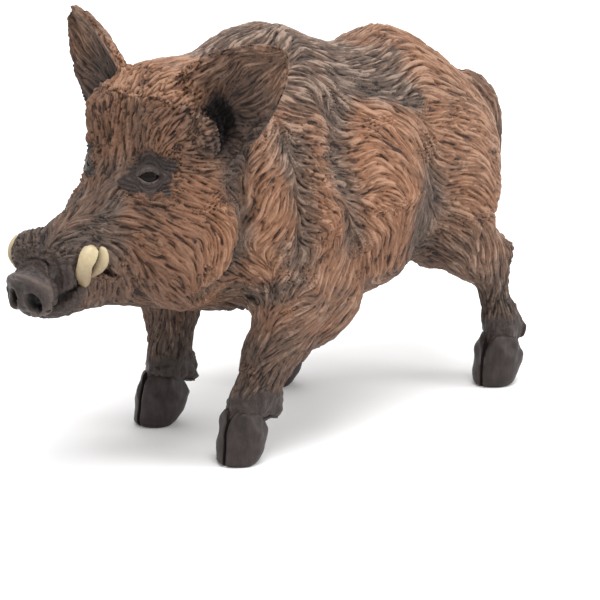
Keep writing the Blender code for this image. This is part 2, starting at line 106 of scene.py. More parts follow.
# How the moulded coat lies: a place on the left side in mm, and the way that the hair runs there.
LIE = (
    (4.2, -28.2, 46, 0.09, 0.19, 0.98), (0.8, -27.1, 46.3, -0.05, 0.33, 0.94),
    (4.4, -28.1, 47.2, 0.24, 0.4, 0.88), (7.6, -25.7, 46.7, 0.21, 0.71, 0.68),
    (8.4, -24.8, 45, -0.32, 0.95, 0.02), (5, -29.2, 41.4, 0.23, 0.61, 0.76),
    (2, -33.6, 38, -0.24, 0.78, 0.58), (1, -32.5, 38.9, 0.37, 0.82, 0.44),
    (1.5, -39.2, 35.2, 0.54, 0.79, 0.29), (3.9, -36.9, 35.1, 0.64, 0.7, -0.32),
    (5.8, -33.8, 33.7, 0.49, 0.79, -0.38), (6.9, -29.8, 36.9, 0.74, 0.53, -0.42),
    (10.3, -27.2, 34.4, 0.49, 0.76, -0.43), (8.3, -31, 32.1, 0.69, 0.65, -0.32),
    (10.5, -28.3, 29.9, 0.3, 0.64, -0.71), (11.4, -20.7, 35.2, 0.13, 0.75, -0.65),
    (11.6, -18.7, 31.9, -0.07, 0.24, -0.97), (11.4, -21.9, 30.1, 0.0, -0.15, -0.98),
    (11.1, -24, 27.3, 0.04, 0.12, -0.99), (6.3, -33.5, 30.2, 0.27, 0.7, -0.66),
    (7.3, -31.3, 27.4, 0.14, 0.52, -0.84), (5.1, -37, 27.5, -0.06, 0.16, -0.99),
    (5.9, -32.6, 26.5, -0.14, 0.49, -0.86), (8.5, -27.6, 24.2, 0.35, 0.62, -0.7),
    (9.4, -24.4, 42, -0.22, 0.97, -0.12), (9.9, -24.3, 38.5, 0.35, 0.88, -0.33),
    (1.2, -23.5, 52.5, 0.34, 0.75, 0.57), (4.7, -23.9, 51.1, 0.33, 0.68, 0.65),
    (11.8, -19.8, 44.3, 0.84, 0.52, 0.14), (11.5, -20.1, 42.2, 0.57, 0.81, -0.13),
    (12.1, -13.8, 40.7, 0.03, -0.88, -0.48), (12.6, -15.7, 33.4, -0.16, -0.29, -0.94),
    (11.5, -16.2, 26.6, 0.55, 0.65, -0.5), (9.8, -16.1, 23.4, 0.81, 0.59, 0.03),
    (12, -12.9, 41.3, 0.08, -0.77, -0.63), (13.2, -12.2, 38.2, -0.05, -0.83, -0.56),
    (13.7, -11.7, 36, -0.05, -0.64, -0.77), (13.2, -13.6, 33.5, -0.19, -0.62, -0.76),
    (14.3, -10.4, 32.6, -0.07, -0.39, -0.92), (13.6, -12.7, 29.8, -0.22, -0.78, -0.59),
    (15.6, -11.9, 25.4, -0.15, -0.68, -0.7), (9.7, -20.1, 51.2, 0.3, 0.26, 0.92),
    (12.6, -19.2, 51.5, 0.73, 0.17, 0.66), (13.5, -19, 48.8, 0.88, -0.15, 0.45),
    (12.7, -19.3, 46.6, 0.36, 0.92, 0.16), (7.1, -21.4, 51.3, -0.1, 0.84, 0.54),
    (10.5, -20.7, 54.5, 0.86, -0.07, 0.51), (15.8, -19.1, 56.3, 0.96, 0.27, 0.01),
    (4.5, -1.5, 53.9, -0.13, 0.95, 0.29), (5.7, 3.9, 51.7, 0.05, 0.94, -0.34),
    (1.8, 14, 50.2, -0.02, 0.99, -0.12), (2.5, 18.9, 50.2, -0.05, 0.99, 0.1),
    (2.8, 26, 49.9, 0.59, 0.71, -0.39), (6.3, 27, 47.5, 0.33, 0.77, -0.54),
    (9, 0.9, 48.9, 0.31, 0.83, -0.47), (7.6, 10, 48.2, -0.11, 0.98, -0.16),
    (8.7, 15.7, 46.3, -0.04, 1, 0.02), (7.9, 20.2, 47.2, -0.01, 1, 0.04),
    (8.3, 26.7, 45.8, 0.3, 0.77, -0.56), (2.4, 40.6, 40.2, 0.09, 0.74, -0.67),
    (9.2, -3.2, 48.8, 0.39, 0.92, 0), (10, -0.1, 47.7, 0.57, 0.01, -0.82),
    (10.7, 21.9, 44, 0.16, 0.96, -0.25), (12.4, 7.5, 43.1, 0.13, 0.93, -0.34),
    (13.6, 11.8, 40.5, 0.25, 0.73, -0.63), (14.8, 14.2, 37.1, 0.22, 0.27, -0.94),
    (14.6, 3.1, 39.1, 0.01, 1, -0.04), (15.1, 8.2, 37.6, 0.13, 0.85, -0.5),
    (15.6, 11.7, 34.7, 0.13, 0.53, -0.84), (15.8, 3.5, 34.2, 0.04, 1, 0), (16, 8.5, 33, 0.04, 0.87, -0.5),
    (16, 3.6, 31.7, 0.03, 0.94, -0.34), (15.9, 7.1, 29.2, -0.16, 0.42, -0.89),
    (14.9, 4.9, 24.9, -0.19, 0.5, -0.84), (15, 8.4, 25.2, -0.36, 0.37, -0.85),
    (15.8, 12.2, 30.8, 0.05, -0.68, -0.73), (15.4, 9.8, 26.6, -0.17, -0.27, -0.95),
    (14.7, 14.6, 25.8, -0.39, 0.17, -0.9), (12.4, -3.9, 43.8, 0.23, 0.93, -0.3),
    (13.7, -5.2, 40.7, 0.23, 0.93, -0.29), (14.8, -5.8, 37.6, 0.2, 0.95, -0.26),
    (15.2, -7.4, 34.4, 0.25, 0.94, -0.22), (15.4, -7.9, 31.1, 0.22, 0.92, -0.32),
    (15.8, -3.6, 28.8, -0.01, -0.28, -0.96), (15.5, -2.9, 26, 0, -0.63, -0.77),
    (12.4, 24.8, 40, 0.01, 0.96, -0.28), (14.3, 23.6, 33.8, 0.01, 0.97, -0.23),
    (15.1, 23.8, 30.2, 0.18, 0.94, -0.28), (14.9, 23, 26.5, 0.29, 0.9, -0.33),
    (13.9, 23.3, 21.6, 0.27, 0.76, -0.59), (11.6, 22.3, 20.6, 0.37, 0.8, -0.47),
    (15.4, 27.2, 21.4, -0.12, 0.43, -0.9), (11.6, 32.6, 9.9, 0.05, 0.06, -1),
    (16.3, -10.1, 20.6, -0.12, -0.98, -0.15), (15.8, -11.1, 17.6, -0.29, -0.94, -0.2),
    (14.6, -14.2, 15.5, -0.54, -0.77, -0.33), (13.8, -15.7, 13.6, -0.59, -0.55, -0.6),
    (11.6, -15.4, 17.2, -0.15, -0.31, -0.94), (10.9, -14.7, 19.1, -0.34, 0.03, -0.94),
    (13.5, -16, 11.1, -0.39, -0.31, -0.87), (9.6, -12.5, 12.6, 0.1, 0.03, -0.99),
    (7.1, -10.1, 12.5, 0.02, -0.12, -0.99), (0, -19, 53.5, 0, 0.95, 0.3), (4.5, -10, 54, -0.46, 0.76, 0.46),
    (1, -6, 55.5, 0, 0.98, 0.2), (3, -14, 53, -0.3, 0.86, 0.41), (0, 8, 52.5, 0, 0.95, -0.3),
    (1, 31, 48.5, 0, 0.86, -0.51), (7, 34, 41, 0.3, 0.7, -0.65), (5, 39, 36, 0.3, 0.6, -0.75),
    (5, 41.5, 30, 0.2, 0.2, -0.96), (9, 36, 26, 0.1, 0.1, -0.99), (13, 30, 35, 0.1, 0.8, -0.6),
    (13.5, 31, 29, 0.1, 0.7, -0.7), (12.5, 33, 22, 0, 0.41, -0.91), (1, 46.5, 34, 0, 0.1, -1),
    (1, 44, 40, 0, 0.82, -0.57), (1, 46.8, 28, 0, 0, -1), (0, 42.5, 26, 0, -0.3, -0.95),
    (0, 36, 22.5, 0, -0.85, -0.53), (0, 24, 18.5, 0, 0.95, 0.32), (0, 10, 15, 0, 1, 0),
    (8, 10, 17, 0.21, 0.95, -0.21), (8, 22, 19.5, 0, 0.98, 0.22), (0, -4, 17.5, 0, 1, 0),
    (0, -16, 20, 0, 0.93, -0.36), (5, -14, 20, 0, 0.85, -0.53), (0, -24, 22.3, 0, 1, -0.1),
    (0, -33, 23.3, 0, 1, -0.05), (0, -41, 23.5, 0, 1, 0), (7, -9, 17, 0, 0.1, -1), (10, -13, 12, 0, 0, -1),
    (10.5, -9, 10, 0, 0, -1), (10, -15.5, 8, 0, 0, -1), (7.5, -14, 12, 0, 0, -1),
    (13, -12, 13, 0, -0.1, -1), (7.5, 20, 14, 0, 0, -1), (10.5, 16, 8, 0, 0, -1),
    (10.6, 20.5, 12.5, 0, -0.41, -0.91), (8, 33, 15, 0, 0, -1), (11.5, 35, 14, 0, 0.41, -0.91),
    (11.5, 39, 12, 0, 0, -1), (11.8, 36, 8, 0, 0, -1), (14, 34, 15, 0, 0.1, -1),
    (9.5, -17, 49.5, 0.72, 0.2, 0.67), (13, -16, 52.5, 0.75, 0.15, 0.65), (17, -17.5, 54.5, 0.7, 0.15, 0.7),
    (13.5, -17.8, 45.5, 0.7, 0.7, 0.12), (16, -15, 16, -0.21, -0.52, -0.83), (11, 2, 14, 0, -0.53, -0.85),
    (14.5, -2, 18, -0.1, -0.86, -0.5), (15.5, 2, 20, 0, -0.8, -0.6), (16, -6, 25, -0.1, -0.8, -0.6),
)

NARROW = 0.8  # half width in mm below which a crease is darkened with painted shade and makes no valley
# Creases pressed into the casting: depth and half width in mm, and the line along the left side.
CREASES = {
    "jowl": (
        1.0, 1.3,
        ((10.9, -20.8, 42.3), (11.6, -19, 38.1), (11.9, -17.4, 34.4), (11.6, -17.0, 31.6),
         (11.2, -17.9, 28.3), (10.3, -19.6, 25.7), (10.0, -22.6, 24.3), (8.6, -25.4, 23.2)),
    ),
    "first roll": (
        0.55, 1.9,
        ((10.6, -9.5, 46.5), (12.8, -8.7, 41.4), (14.4, -9, 35.9), (15.1, -8.7, 30.9), (15.2, -10.4, 27.5),
         (14.4, -13, 24.6)),
    ),
    "second roll": (
        0.75, 2.1,
        ((9.4, 2.9, 48), (11.9, 1.1, 44.7), (13.6, -0.9, 41.3), (14.8, -1.8, 38.4), (15.6, -0.5, 34.5),
         (15.7, 0.7, 29.1), (14.7, 3.2, 25.1)),
    ),
    "back": (
        0.4, 1.6, ((9.0, 2.6, 48.4), (8.9, 5.6, 48), (9.2, 12.4, 46.2), (10.6, 17, 44.2), (12.2, 19.5, 41.9))
    ),
    "flank": (
        0.8, 2.2,
        ((13.6, 17.6, 40.0), (15, 16.8, 35), (15.2, 17.1, 31), (15, 15.6, 27.3), (12.6, 16.6, 23.4),
         (9.2, 20.4, 20)),
    ),
    "elbow": (0.6, 1.5, ((9.5, -19.5, 21.5), (13, -16.6, 22.6), (15.0, -13, 24.2), (15.8, -8, 25.6))),
    "mouth": (
        1.1, 0.5,
        ((0, -47.4, 24.3), (2.0, -46.4, 24.6), (3.2, -43.9, 25.6), (3.8, -43.0, 26.8), (4.9, -42, 28.0),
         (5.1, -40.4, 28.9), (5.3, -39.4, 29.4), (5.2, -37.8, 29.5), (5.2, -36.5, 29.4), (5.4, -35.4, 28.8),
         (5.8, -34.2, 28.2)),
    ),
    "snout": (0.4, 0.45, ((0, -43.9, 32.0), (2.6, -44.0, 31.0), (4.2, -43.8, 28.6), (4.2, -43.6, 26.4))),
    "under eye": (0.3, 0.7, ((3.6, -31.4, 39.0), (5.6, -30.7, 37.6), (8.2, -28.8, 37.2), (9.8, -26.6, 38.4))),
    "bridge": (0.25, 0.8, ((2.6, -42.0, 33.0), (3.2, -38.4, 34.6), (3.4, -34.6, 36.4), (3.4, -32.0, 38.8))),
}

# Forms raised from the casting: height and half width in mm, and the line along the left side.
ROLLS = {
    "jowl": (0.7, 2.4, ((10.6, -22.5, 38), (11.4, -20.9, 34), (11.2, -21.2, 30), (10.2, -23.4, 26.6))),
    "first": (
        0.45, 2.0,
        ((11.4, -12.6, 46), (12.3, -13.2, 41), (13.4, -13.2, 36), (13.8, -13.0, 31), (13.8, -12, 27)),
    ),
    "second": (
        0.5, 2.2,
        ((11.2, -3.6, 46), (13, -4.8, 42), (14.8, -5.6, 37.6), (15.4, -5.2, 33), (15.9, -3.8, 28.8)),
    ),
    "dome": (0.6, 4.0, ((12.4, 7, 43.4), (14.6, 7, 39), (15.7, 7.4, 35), (15.9, 7.4, 30))),
    "haunch": (0.4, 3.4, ((11.6, 23, 41.6), (14.2, 24.6, 36), (15.2, 25.4, 30), (14.6, 25.6, 25))),
    "lip": (0.55, 1.1, ((4.4, -43.2, 29.2), (5.0, -41.0, 31.0), (5.4, -38.4, 31.8))),
    "lower lip": (0.3, 0.7, ((3.6, -43.4, 25.2), (4.6, -40.4, 26.4), (5.4, -37.6, 27.2))),
    "mouth corner": (0.5, 1.2, ((6.6, -34.6, 30.6), (7.4, -32.8, 29.0), (7.2, -32.4, 27.0))),
    "brow": (0.5, 1.5, ((3.4, -30.2, 43.6), (5.6, -29.2, 43.6), (8.2, -27.2, 42.8))),
    "hock": (0.5, 1.3, ((11.4, 36.2, 16.8), (11.6, 37.0, 14.6))),
}

# The brow's edge, where the hair of the forehead ends over the crown: x, y and z in mm from the middle
# outwards.
BROW_TOP = (
    (0.0, -25.9, 49.8), (2.6, -25.6, 50.0), (4.9, -25.0, 49.9), (6.6, -24.0, 49.5), (8.0, -22.6, 49.0),
    (9.5, -20.5, 48.6),
)
# And beside the ear's hollow: z and y from the lowest place up.
BROW_SIDE = ((41.0, -21.3), (43.4, -21.9), (45.2, -22.1), (47.0, -22.3), (48.6, -22.9), (50.0, -24.6))

BROW_HEIGHT = 1.15  # of the edge over the skin, in mm
BROW_RUN = 2.4  # over which the forehead rises to it, in mm

# The paint's tones: a place on the left side in mm; how warm the brown is (0 grey, 1 terracotta),
# how light the ridges are, and how dark the whole is.
TONES = (
    (0, -47, 27, 0.1, 0.55, 0.55), (3, -43, 31, 0.15, 0.6, 0.4), (4, -38, 33, 0.25, 0.8, 0.24),
    (4, -36, 37, 0.4, 0.9, 0.17), (0, -38, 36, 0.4, 0.8, 0.22), (0, -32, 41, 0.45, 0.5, 0.32),
    (3, -44, 25, 0.25, 0.5, 0.36), (5, -38, 26, 0.4, 0.65, 0.2), (0, -38, 23.5, 0.2, 0.4, 0.5),
    (0, -28, 46, 0.62, 0.55, 0.18), (6, -26, 46, 0.6, 0.58, 0.17), (9.3, -23.6, 46, 0.55, 0.6, 0.16),
    (7.6, -31, 36, 0.6, 0.5, 0.2), (9, -28, 34, 0.75, 0.5, 0.15), (10, -25, 38, 0.8, 0.5, 0.12),
    (10.5, -23, 33, 0.8, 0.6, 0.1), (10, -24, 28, 0.75, 0.6, 0.1), (7, -28, 25, 0.55, 0.55, 0.2),
    # The rows at (8, -19, 45) and (9.6, -20.4, 45) darken the ear's hole: painted shadow.
    (0, -26, 22.5, 0.4, 0.4, 0.4), (9.5, -23, 42, 0.6, 0.5, 0.25), (8, -19, 45, 0.3, 0.2, 0.8),
    (9.6, -20.4, 45, 0.2, 0.1, 0.95), (13, -19.5, 51, 0.4, 0.4, 0.55), (17, -19, 55.5, 0.5, 0.6, 0.35),
    (13.5, -18, 45.6, 0.3, 0.35, 0.7), (11, -16.5, 52, 0.5, 0.6, 0.25), (3, -22, 51.5, 0.75, 1.0, 0.0),
    (0, -20, 53, 0.7, 1.0, 0.0), (6, -18, 51.5, 0.65, 0.9, 0.05), (0, -10, 55.5, 0.2, 0.9, 0.12),
    (4, -8, 54, 0.2, 0.85, 0.15), (6, 0, 51.5, 0.2, 0.8, 0.16), (0, 8, 52.5, 0.15, 0.85, 0.16),
    (6, 14, 48.5, 0.2, 0.8, 0.15), (0, 22, 51, 0.6, 1.0, 0.04), (0, 33, 45, 0.65, 0.95, 0.03),
    (8, 26, 44.5, 0.62, 1.0, 0.03), (12, -12, 42, 0.6, 1.0, 0.02), (13.6, -12.6, 34, 0.8, 0.7, 0.07),
    (13, -12, 26, 0.7, 0.7, 0.1), (14.6, -4.6, 38, 0.7, 0.7, 0.1), (15.6, -4, 31, 0.85, 0.65, 0.08),
    (15.6, -3, 25, 0.65, 0.65, 0.16), (15, 7, 38, 0.85, 0.85, 0.02), (16, 7, 32, 0.95, 0.85, 0.03),
    (14, 9, 25, 0.75, 0.5, 0.22), (14.4, 18, 36, 0.6, 0.6, 0.14), (14, 17, 28, 0.45, 0.5, 0.3),
    (9, 20, 20, 0.35, 0.4, 0.4), (14, 26, 38, 0.65, 0.95, 0.02), (15, 27, 30, 0.65, 0.65, 0.11),
    (12, 34, 32, 0.6, 1.1, 0.0), (6, 40, 36, 0.45, 0.7, 0.14), (13, 30, 22, 0.45, 0.75, 0.14),
    (10, 37, 25, 0.35, 0.5, 0.3), (12, 35, 16, 0.3, 0.5, 0.42), (12, 37, 10, 0.2, 0.45, 0.58),
    (12, 36, 5, 0.15, 0.4, 0.72), (11, -9, 18, 0.45, 0.55, 0.3), (14, -7, 21, 0.5, 0.6, 0.22),
    (10.5, -13, 12, 0.3, 0.5, 0.42), (10, -14.5, 8, 0.15, 0.45, 0.58), (10, -15, 5, 0.1, 0.4, 0.72),
    (10.4, 18, 14, 0.25, 0.4, 0.5), (10.4, 15, 7, 0.15, 0.4, 0.65), (10, -7, 12, 0.25, 0.4, 0.5),
    (10, -9, 7, 0.15, 0.4, 0.65), (6, -10, 19, 0.3, 0.35, 0.5), (0, 0, 16.5, 0.35, 0.4, 0.42),
    (8, 8, 18, 0.45, 0.5, 0.3), (0, 20, 17, 0.3, 0.4, 0.45), (1, 45.5, 36, 0.4, 0.6, 0.3),
    (1, 46, 27, 0.2, 0.5, 0.5), (0, 41, 28, 0.3, 0.4, 0.5),
)

# The left eye: the way from its inner corner to its outer one, and the way that it faces.
EYE_LONG = (0.85, 0.52, 0.04)
EYE_OUT = (0.62, -0.72, 0.28)
OPENING_SHIFT = (0.12, -0.1)  # its middle from the eyeball's outermost point, along and up, in mm
OPENING = (1.62, 1.0)  # half length and half height, in mm
ALMOND = 0.45  # how much the half height falls off to the corners
EYE_REACH = 4.5  # from the eyeball's middle to the end of what the eye moves, in mm
EYE_COVER = 0.2  # of closed skin over the eyeball, in mm
EYE_SINK = 0.4  # of the skin in the opening under the eyeball's surface, in mm
LID_LIFT = 0.10  # of the lids' middle line over the eyeball, in mm
LID_THICK = 0.24  # half thickness of the lower lid, in mm
BARE_ROUND_EYE = (3.2, 2.8)  # half length and half height of the dark bare skin, in mm

NOSTRIL = (1.75, -46.6, 26.7)  # middle of the left one, in mm
NOSTRIL_DEPTH = 1.5  # in mm
SNOUT_DISC = (4.1, 2.8, 27.3)  # half width, half height and level of its middle, in mm
WRINKLE_SPACING = 0.95  # of the neck behind the disc, in mm
LIP_LEVEL = 33.2  # above which the tusks are clean, in mm

CORONET = 5.2  # level at which the claws meet the skin, in mm
CLEFT = 0.5  # gap between a foot's two claws, in mm
FOOT_REACH = 8.5  # radius about a leg's axis that takes in its whole foot, in mm
SLICE = 0.5  # height of the slices by which a foot is narrowed, in mm
# For each foot: x and y of the leg's axis at the coronet, in mm, the turn of the toes in degrees, and how
# long the heel is as a share of the usual.
FEET = {
    "foreleg_left": (10.1, -15.7, 4, 0.86),
    "foreleg_right": (-10.0, -10.5, -4, 1.12),
    "hindleg_left": (12.2, 34.9, 4, 1.0),
    "hindleg_right": (-10.4, 13.9, -4, 1.0),
}
# For a fore foot and a hind foot: how far behind the leg's axis the dewclaws hang, their level, how far they
# stand out, all in mm, and the share by which the casting's own heel is drawn in behind them.
DEWCLAWS = {"foreleg": (4.5, 7.3, 0.95, 0.0), "hindleg": (3.2, 8.0, 0.3, 0.5)}
HEEL_DRAWN = 0.75  # the same share below the dewclaws
DEWCLAW_ASIDE = 1.8  # from the foot's middle plane, in mm
DEWCLAW_RADII = (1.5, 2.4, 2.5)
# Height above the floor, and a foot's width there as a share of the casting's.
FOOT_WIDTHS = (
    (5.0, 0.7), (5.8, 0.78), (6.4, 0.85), (7.0, 0.88), (7.9, 0.92), (9.0, 0.94), (10.4, 0.89), (12.0, 0.88),
    (13.4, 0.94), (14.6, 1.0),
)
# Where the casting is moved on one side: a place, how far the move reaches, and the move, in mm.
PUSHES = (
    (-5.6, -41.0, 32.2, 3.2, -2.0, 0.0, 0.6),
    (-8.6, -25.6, 48.0, 2.4, -1.1, -0.3, 0.8),
    (-9.6, -25.2, 47.6, 2.0, -1.6, 0.0, 0.0),
    (-15.4, -20.0, 51.8, 2.0, -0.7, 0.0, -0.2),
    (13.8, 32.8, 24.8, 2.6, -0.85, -0.8, 0.0),
    (13.4, 33.5, 22.6, 1.3, -0.5, -0.45, 0.0),
    (13.2, 35.4, 19.2, 1.6, 0.4, 0.38, 0.4),
    (13.2, 36.6, 15.8, 1.5, -0.75, -0.7, 0.0),
    (13.4, 37.0, 13.0, 2.0, -0.75, -0.7, 0.0),
    (0.0, 21.5, 51.0, 4.5, 0.0, 0.0, 0.6),
    (0.0, 31.5, 47.0, 3.5, 0.0, 0.0, -0.5),
    (11.6, 32.4, 9.4, 1.9, 0.0, -0.7, 0.0),
    (10.4, -18.0, 15.2, 2.6, 0.0, 0.9, 0.0),
    (10.2, -18.2, 9.6, 2.6, 0.0, -1.0, 0.0),
    (-10.5, -13.5, 15.0, 2.6, 0.0, 0.8, 0.0),
    (-10.3, -13.0, 8.8, 2.2, 0.0, -0.7, 0.0),
)
# Share of a claw's height, its toe and heel from the leg's axis, and its width, in mm.
CLAW_RINGS = (
    (0.0, -3.9, 0.6, 2.3), (0.08, -4.4, 1.3, 2.7), (0.32, -4.4, 2.4, 3.0), (0.58, -4.2, 3.2, 3.1),
    (0.8, -3.95, 3.4, 3.0), (0.92, -3.7, 3.2, 2.85), (1.0, -3.5, 3.0, 2.7),
)
# Height in mm, above the floor and above the coronet, and a claw's size there as a share of its full one.
CLAW_SOLE = ((0.0, 0.0), (0.0, 0.8), (0.02, 0.93), (0.1, 0.985), (0.25, 1.0))
CLAW_TOPS = ((0.4, 0.94), (0.8, 0.87), (1.2, 0.78), (1.5, 0.66), (1.7, 0.45), (1.75, 0.0))
# Points along a left tusk from its socket to its tip, and its half width and half thickness there, in mm.
TUSKS = {
    "tusk_lower": (
        (3.9, -39.9, 27.9, 0.6, 0.5), (4.7, -40.24, 28.87, 0.85, 0.55), (5.5, -41.12, 30.27, 1.05, 0.58),
        (6.05, -41.44, 31.38, 1.02, 0.6), (6.25, -41.07, 32.41, 1.16, 0.6), (6.15, -40.41, 33.19, 1.05, 0.56),
        (5.9, -39.8, 33.75, 0.72, 0.46),
    ),
    "tusk_upper": (
        (4.2, -38.9, 29.2, 0.5, 0.45), (4.8, -38.68, 29.63, 0.6, 0.5), (5.6, -38.5, 30.29, 0.72, 0.55),
        (6.1, -38.25, 31.14, 0.76, 0.55), (6.3, -38.2, 31.97, 0.68, 0.5), (6.2, -38.25, 32.76, 0.54, 0.44),
        (5.9, -38.32, 33.3, 0.36, 0.34),
    ),
}
TUSK_SHIFT = (-1.1, 0.0, -0.9)  # of the right tusks, whose side of the muzzle is fuller
TUSK_FLAT = (0.6, 0.8, 0.0)  # the way that the tusks' broad sides run
# Hollows of the solids that are filled before the skin is cast, and then sculpted: middle and radii in mm.
PLUGS = (
    ((8.6, -21.3, 45.0), (2.6, 2.6, 4.2)),
    ((1.75, -46.6, 26.8), (1.5, 1.2, 1.5)),
    ((4.3, -41.3, 28.0), (1.5, 1.7, 1.7)),
    ((4.6, -38.9, 29.9), (1.4, 1.5, 1.5)),
)
# The left ear: its root and its tip in mm, and the way that its hollow faces.
EAR_ROOT = (8.0, -20.7, 47.6)
EAR_TIP = (19.4, -17.9, 57.4)
EAR_FRONT = (0.32, -0.94, -0.06)
# Share of the way from the ear's root to its tip, and the ear's half width there in mm.
EAR_HALF_WIDTHS = ((0, 6.9), (0.16, 6.8), (0.33, 6.4), (0.5, 5.6), (0.67, 4.6), (0.83, 3.0), (1, 0.8))
EAR_HOLE = (9.4, -20.6, 46.4)
EAR_HOLE_RADII = (2.4, 2.0, 3.3)
EAR_HOLE_SUNK = (-1.3, 1.1, -0.5)  # how far its floor is moved, in mm

# Planes that part the coat, from the rump forwards: in front of y = level + slope z lies the named piece.
CUTS = (
    ("coat_loins", 29.9, 0.0), ("coat_barrel", 16.3, 0.0), ("coat_shoulders", 2.0, 0.0),
    ("coat_neck", -27.8, 0.53), ("coat_head", -24.5, 0.16), ("coat_face", -32.6, 0.16),
)
LEG_TOP = 13.2  # level of the cuts through the legs
BETWEEN_LEGS = 5.0  # y between the fore legs and the hind legs
TAIL_FRONT = 43.0  # y behind which only the tail hangs so low
TAIL_CHART = 43.4  # y behind which the tail is unrolled by itself

# The studio, in metres; a lamp's power is a share of the main light's.
FLOOR_REACH = 3.0  # from its middle to its sides
FLOOR_LINES = 41  # of its grid, each way
FLOOR_DROP = 0.00002  # how far the floor lies under the soles
SENSOR = 36.0  # width of the camera's sensor in millimetres
# Each lamp's place, the side of its square, and its power.
LAMPS = {
    "key": ((0.14, -0.10, 0.60), 0.34, 1.0),
    "fill": ((0.50, 0.34, 0.32), 0.34, 0.7),
    "rim": ((-0.30, 0.35, 0.45), 0.30, 0.3),
}


# ---------------------------------------------------------------- sums on arrays of points


def unit(vectors):
    """Vectors of length one."""
    return vectors / np.maximum(np.linalg.norm(vectors, axis=-1, keepdims=True), 1e-9)


def smooth(low, high, value):
    """0 up to `low`, 1 from `high`, and the cubic 3t^2 - 2t^3 between them."""
    t = np.clip((value - low) / (high - low), 0, 1)
    return t * t * (3 - 2 * t)


def catmull_rom(rows, steps):
    """The Catmull-Rom curve through the rows, `steps` points to each stretch."""
    rows = np.asarray(rows, float)
    padded = np.vstack([2 * rows[0] - rows[1], rows, 2 * rows[-1] - rows[-2]])
    t = np.linspace(0, 1, steps, endpoint=False)[None, :, None]
    a, b, c, d = (padded[k : len(rows) - 1 + k, None] for k in range(4))
    curve = 0.5 * (2 * b + (c - a) * t + (2 * a - 5 * b + 4 * c - d) * t**2 + (3 * b - a - 3 * c + d) * t**3)
    return np.vstack([curve.reshape(-1, rows.shape[1]), rows[-1:]])


def squared_gaps(points, places):
    """The square of the distance from each point to each place."""
    return ((points[:, None] - places[None, :, :3]) ** 2).sum(-1)


def near_line(points, line, reach):
    """The numbers of the points inside the line's box when it is widened by `reach`."""
    low, high = line[:, :3].min(0) - reach, line[:, :3].max(0) + reach
    return np.flatnonzero(np.all((points > low) & (points < high), axis=1))


def nearest_on(points, line, reach):
    """For each point, its distance from a line of points, and the share of the line's length at its
    nearest place. Points outside the line's box by more than `reach` get the distance FAR."""
    distance = np.full(len(points), FAR)
    share = np.zeros(len(points))
    inside = near_line(points, line, reach)
    for chunk in np.array_split(inside, max(1, len(inside) // 20000)):
        gaps = squared_gaps(points[chunk], line)
        share[chunk] = gaps.argmin(1) / (len(line) - 1)
        distance[chunk] = np.sqrt(gaps.min(1))
    return distance, share


def bell(value, width, place=0.0):
    """1 at `place`, falling away on both sides as exp(-((value - place) / width)^2)."""
    return np.exp(-(((value - place) / width) ** 2))


def turns(count):
    """Angles evenly round a circle."""
    return np.linspace(0, 2 * math.pi, count, endpoint=False)


def folded(points):
    """The points' twins on the left side."""
    return np.column_stack([np.abs(points[:, 0]), points[:, 1:]])


def side_factors(points):
    """What turns a vector at each point into its twin's on the left side: (-1, 1, 1) on the right."""
    return np.where(points[:, :1] < 0, -1.0, 1.0) ** np.array((1, 0, 0))


class Lattice:
    """Random numbers on a block of points that repeats in space, read between them with a quintic blend.
    Part of the mean of each number's six neighbours is taken from it, so that highs and lows alternate.
    With `sparse`, that share of the numbers is 1 and the rest are 0."""

    SIZE = 64
    SHIFT = 1000.0  # cells by which all places are moved, so that none is negative

    def __init__(self, seed, sparse=0.0):
        rng = np.random.default_rng(seed)
        block = rng.uniform(-1, 1, (self.SIZE,) * 3)
        if sparse:
            block = np.where(rng.uniform(0, 1, block.shape) < sparse, 1.0, 0.0)
        else:
            around = sum(np.roll(block, way, axis) for axis in range(3) for way in (1, -1)) / 6
            block = block - EVEN * around
        self.block = block.astype(np.float32).ravel()

    def at(self, points, cell):
        """The numbers at the points, the block's points standing `cell` mm apart."""
        size = self.SIZE
        place = points / cell + self.SHIFT
        low = np.floor(place)
        t = (place - low).astype(np.float32)
        t = t * t * t * (t * (t * 6 - 15) + 10)
        low = low.astype(np.int64) % size
        high = (low + 1) % size
        x = (low[:, 0] * size * size, high[:, 0] * size * size)
        y = (low[:, 1] * size, high[:, 1] * size)
        z = (low[:, 2], high[:, 2])
        total = 0
        for i in (0, 1):
            wx = t[:, 0] if i else 1 - t[:, 0]
            for j in (0, 1):
                wy = wx * (t[:, 1] if j else 1 - t[:, 1])
                row = x[i] + y[j]
                column = self.block[row + z[0]] * (1 - t[:, 2]) + self.block[row + z[1]] * t[:, 2]
                total = total + wy * column
        return total


